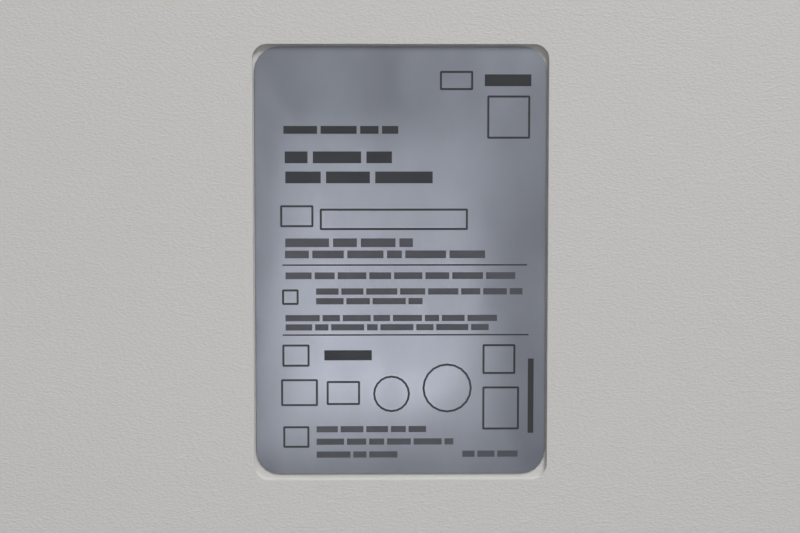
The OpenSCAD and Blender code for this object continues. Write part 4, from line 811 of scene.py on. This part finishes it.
def pale_floor(studio):
    """A wide, plain floor that catches the object's shadow, throws little light back up and fades into
    the white room."""
    material, tree, principled = blank("pale_floor_paint", tuple(studio.floor), 0.8)
    direct = add(tree, "ShaderNodeLightPath").outputs["Is Camera Ray"]
    tone = add(tree, "ShaderNodeMix", {0: direct}, data_type="RGBA")
    tone.inputs[6].default_value = tuple(part * studio.bounce for part in studio.floor) + (1.0,)
    tone.inputs[7].default_value = tuple(studio.floor) + (1.0,)
    tree.links.new(tone.outputs[2], principled.inputs["Base Color"])
    place = add(tree, "ShaderNodeTexCoord").outputs["Object"]
    reach = add(tree, "ShaderNodeVectorMath", {0: place}, operation="LENGTH").outputs["Value"]
    near, far = FLOOR_FADE
    fade = add(tree, "ShaderNodeMapRange", {"Value": reach, "From Min": near, "From Max": far},
               interpolation_type="SMOOTHSTEP").outputs["Result"]
    clear = add(tree, "ShaderNodeBsdfTransparent").outputs["BSDF"]
    mixed = add(tree, "ShaderNodeMixShader", {0: fade, 1: principled.outputs["BSDF"], 2: clear})
    tree.links.new(mixed.outputs["Shader"], tree.nodes["Material Output"].inputs["Surface"])
    mesh = bpy.data.meshes.new("floor")
    corners = [(FLOOR_HALF * x, FLOOR_HALF * y, 0) for x, y in ((-1, -1), (1, -1), (1, 1), (-1, 1))]
    mesh.from_pydata(corners, [], [(0, 1, 2, 3)])
    mesh.materials.append(material)
    floor = bpy.data.objects.new("floor", mesh)
    bpy.context.scene.collection.objects.link(floor)


def even_light(studio):
    """A white room for the camera, a dimmer one for reflections and for the light that falls, brighter
    above than below, and wide soft lamps that are never seen directly."""
    world = bpy.data.worlds.new("studio")
    bpy.context.scene.world = world
    world.use_nodes = True
    tree = world.node_tree
    tree.nodes.clear()
    path = add(tree, "ShaderNodeLightPath").outputs
    seen = add(tree, "ShaderNodeMath", {0: path["Is Camera Ray"], 1: path["Is Transmission Ray"]},
               operation="MAXIMUM").outputs["Value"]
    white = add(tree, "ShaderNodeBackground", {"Color": (1, 1, 1, 1), "Strength": 1.0}).outputs["Background"]
    way = add(tree, "ShaderNodeTexCoord").outputs["Object"]
    height = add(tree, "ShaderNodeSeparateXYZ", {"Vector": way}).outputs["Z"]
    rise = add(tree, "ShaderNodeMapRange", {"Value": height, "From Min": -0.35, "From Max": 0.6,
                                            "To Min": 0.06 * studio.sky, "To Max": studio.sky})
    soft = add(tree, "ShaderNodeBackground", {"Color": (1, 1, 1, 1), "Strength": rise.outputs["Result"]})
    shine = add(tree, "ShaderNodeMapRange", {"Value": height, "From Min": -0.3, "From Max": 0.3,
                                             "To Min": 0.15 * studio.mirror, "To Max": studio.mirror})
    mirrored = add(tree, "ShaderNodeBackground", {"Color": (1, 1, 1, 1), "Strength": shine.outputs["Result"]})
    falling = add(tree, "ShaderNodeMixShader", {0: path["Is Glossy Ray"], 1: soft.outputs["Background"],
                                                2: mirrored.outputs["Background"]}).outputs["Shader"]
    mixed = add(tree, "ShaderNodeMixShader", {0: seen, 1: falling, 2: white}).outputs["Shader"]
    add(tree, "ShaderNodeOutputWorld", {"Surface": mixed})
    for name, place, aim, size, power in LAMPS:
        lamp = bpy.data.lights.new(name, "AREA")
        lamp.shape = "DISK"
        lamp.size = size
        lamp.energy = power
        stand = bpy.data.objects.new(name, lamp)
        stand.location = place
        stand.rotation_euler = (Vector(aim) - Vector(place)).to_track_quat("-Z", "Y").to_euler()
        stand.visible_camera = False
        stand.visible_diffuse = name not in GLINTS
        bpy.context.scene.collection.objects.link(stand)


def place_camera(scene, studio):
    """The camera stands behind the instrument, a third of a metre from the rating plate, and looks down
    a little from the viewer's left."""
    flat = math.cos(studio.elevation)
    away = Vector((math.sin(studio.side) * flat, math.cos(studio.side) * flat, math.sin(studio.elevation)))
    data = bpy.data.cameras.new("camera")
    data.lens = studio.lens
    data.sensor_width = 36
    camera = bpy.data.objects.new("camera", data)
    camera.location = Vector(AIM) + away * studio.distance
    turn = (-away).to_track_quat("-Z", "Y") @ Quaternion((0, 0, 1), studio.roll)
    camera.rotation_euler = turn.to_euler()
    scene.collection.objects.link(camera)
    scene.camera = camera


# The operators, one for each group of pieces


class SEQUENCER_OT_finishes(bpy.types.Operator):
    """Makes the finishes and gives every part of the frame its own"""

    bl_idname = "sequencer.finishes"
    bl_label = "Finishes"

    def execute(self, context):
        made.update(finishes())
        for node, slot in slot_of.items():
            dress(node, made[slot])
        return {"FINISHED"}


class SEQUENCER_OT_covers(bpy.types.Operator):
    """The moulded covers, bezel and door, with the round edges that their moulds leave"""

    bl_idname = "sequencer.covers"
    bl_label = "Covers"

    def execute(self, context):
        edge = context.scene.sequencer_cover.edge / MM
        for node in ("rear_cover", "left_side_cover", "right_side_cover", "top_cover", "front_bezel",
                     "door_shell"):
            rounded(node, 0.5 * edge if node == "rear_cover" else edge, made["cover_plastic"], 3)
        return {"FINISHED"}


class SEQUENCER_OT_rear_fittings(bpy.types.Operator):
    """The grilles, screws, mains inlet, switch and sockets of the rear"""

    bl_idname = "sequencer.rear_fittings"
    bl_label = "Rear fittings"

    def execute(self, context):
        round_all((("rear_grilles", 0.35), ("cover_screws", 0.25), ("inlet_module", 0.3),
                   ("power_rocker", 0.5), ("fuse_drawer", 0.4), ("data_ports", 0.12), ("fan_housings", 0.4),
                   ("fan_rotor_left", 0.2), ("fan_rotor_right", 0.2)))
        switch_marks()
        port_insides()
        return {"FINISHED"}


class SEQUENCER_OT_rating_plate(bpy.types.Operator):
    """The rating plate's film with its printed rules, blank fields and rows of plain bars"""

    bl_idname = "sequencer.rating_plate"
    bl_label = "Rating plate"

    def execute(self, context):
        rating_plate(context.scene.sequencer_plate)
        return {"FINISHED"}


class SEQUENCER_OT_front_fittings(bpy.types.Operator):
    """The screen, the power button with its mark, and the frosted ring round it"""

    bl_idname = "sequencer.front_fittings"
    bl_label = "Front fittings"

    def execute(self, context):
        round_all((("screen_glass", 0.3), ("power_button", 0.4), ("power_ring", 0.2)))
        button_mark(context.scene.sequencer_plate)
        return {"FINISHED"}


class SEQUENCER_OT_door(bpy.types.Operator):
    """The inside of the door: its liner, seal, hinge and interlock"""

    bl_idname = "sequencer.door"
    bl_label = "Door"

    def execute(self, context):
        round_all((("door_liner", 0.6), ("door_seal", 0.8), ("hinge_shaft", 0.4), ("hinge_brackets", 0.4),
                   ("interlock_solenoid", 0.4), ("interlock_bolt", 0.4)))
        return {"FINISHED"}


class SEQUENCER_OT_chassis(bpy.types.Operator):
    """The zinc-coated sheet metal and the rubber feet"""

    bl_idname = "sequencer.chassis"
    bl_label = "Chassis"

    def execute(self, context):
        round_all((("feet", 0.8), ("base_pan", 0.3), ("front_frame", 0.3), ("rear_bulkhead", 0.3)))
        return {"FINISHED"}


class SEQUENCER_OT_chamber(bpy.types.Operator):
    """The sample chamber with the cartridge and its polymer drive"""

    bl_idname = "sequencer.chamber"
    bl_label = "Chamber"

    def execute(self, context):
        round_all((("chamber_liner", 0.8), ("cartridge_dock", 0.4), ("cartridge_body", 0.8),
                   ("cartridge_cover", 0.5), ("cartridge_grip", 1.0), ("capillary_array", 0.03),
                   ("polymer_plunger", 0.4), ("polymer_drive", 0.4), ("polymer_pusher", 0.3)))
        return {"FINISHED"}


class SEQUENCER_OT_sampler(bpy.types.Operator):
    """The three-way sampler: carriages, motors, plate and the lead screws with their real thread"""

    bl_idname = "sequencer.sampler"
    bl_label = "Sampler"

    def execute(self, context):
        round_all((("sampler_base", 0.4), ("y_carriage", 0.4), ("x_carriage", 0.4), ("x_motor", 0.6),
                   ("lift_motor", 0.6), ("lift_platform", 0.4), ("plate_nest", 0.4), ("plate_clamp", 0.4),
                   ("sample_plate", 0.12), ("septa_mat", 0.15), ("buffer_reservoir", 0.4)))
        lead_screws(context.scene.sequencer_sampler)
        return {"FINISHED"}


class SEQUENCER_OT_studio(bpy.types.Operator):
    """A plain pale floor, soft light from all round and the camera behind the instrument"""

    bl_idname = "sequencer.studio"
    bl_label = "Studio"

    def execute(self, context):
        studio = context.scene.sequencer_studio
        pale_floor(studio)
        even_light(studio)
        place_camera(context.scene, studio)
        context.scene.view_settings.view_transform = "Standard"
        return {"FINISHED"}


class SEQUENCER_PT_panel(bpy.types.Panel):
    """Lists the pieces and their sizes in the sidebar."""

    bl_idname = "SEQUENCER_PT_panel"
    bl_label = "Sequencer"
    bl_space_type = "VIEW_3D"
    bl_region_type = "UI"
    bl_category = "Sequencer"

    def draw(self, context):
        for name in SETTINGS:
            group = getattr(context.scene, name)
            column = self.layout.column(align=True)
            for key in group.__annotations__:
                column.prop(group, key)
        for operator in OPERATORS:
            self.layout.operator(operator.bl_idname)


SETTINGS = {"sequencer_cover": CoverSettings, "sequencer_plate": PlateSettings,
            "sequencer_sampler": SamplerSettings, "sequencer_studio": StudioSettings}
OPERATORS = (SEQUENCER_OT_finishes, SEQUENCER_OT_covers, SEQUENCER_OT_rear_fittings,
             SEQUENCER_OT_rating_plate, SEQUENCER_OT_front_fittings, SEQUENCER_OT_door, SEQUENCER_OT_chassis,
             SEQUENCER_OT_chamber, SEQUENCER_OT_sampler, SEQUENCER_OT_studio)


def register():
    """Adds the classes and puts the settings on the scene."""
    for kind in (*SETTINGS.values(), *OPERATORS, SEQUENCER_PT_panel):
        bpy.utils.register_class(kind)
    for name, kind in SETTINGS.items():
        setattr(bpy.types.Scene, name, bpy.props.PointerProperty(type=kind))


def unregister():
    """Takes the settings off the scene and the classes out again."""
    for name in SETTINGS:
        delattr(bpy.types.Scene, name)
    for kind in (SEQUENCER_PT_panel, *reversed(OPERATORS), *SETTINGS.values()):
        bpy.utils.unregister_class(kind)


def main():
    """Builds the scene piece by piece."""
    register()
    for operator in OPERATORS:
        group, name = operator.bl_idname.split(".")
        getattr(getattr(bpy.ops, group), name)()


if __name__ == "__main__":
    main()
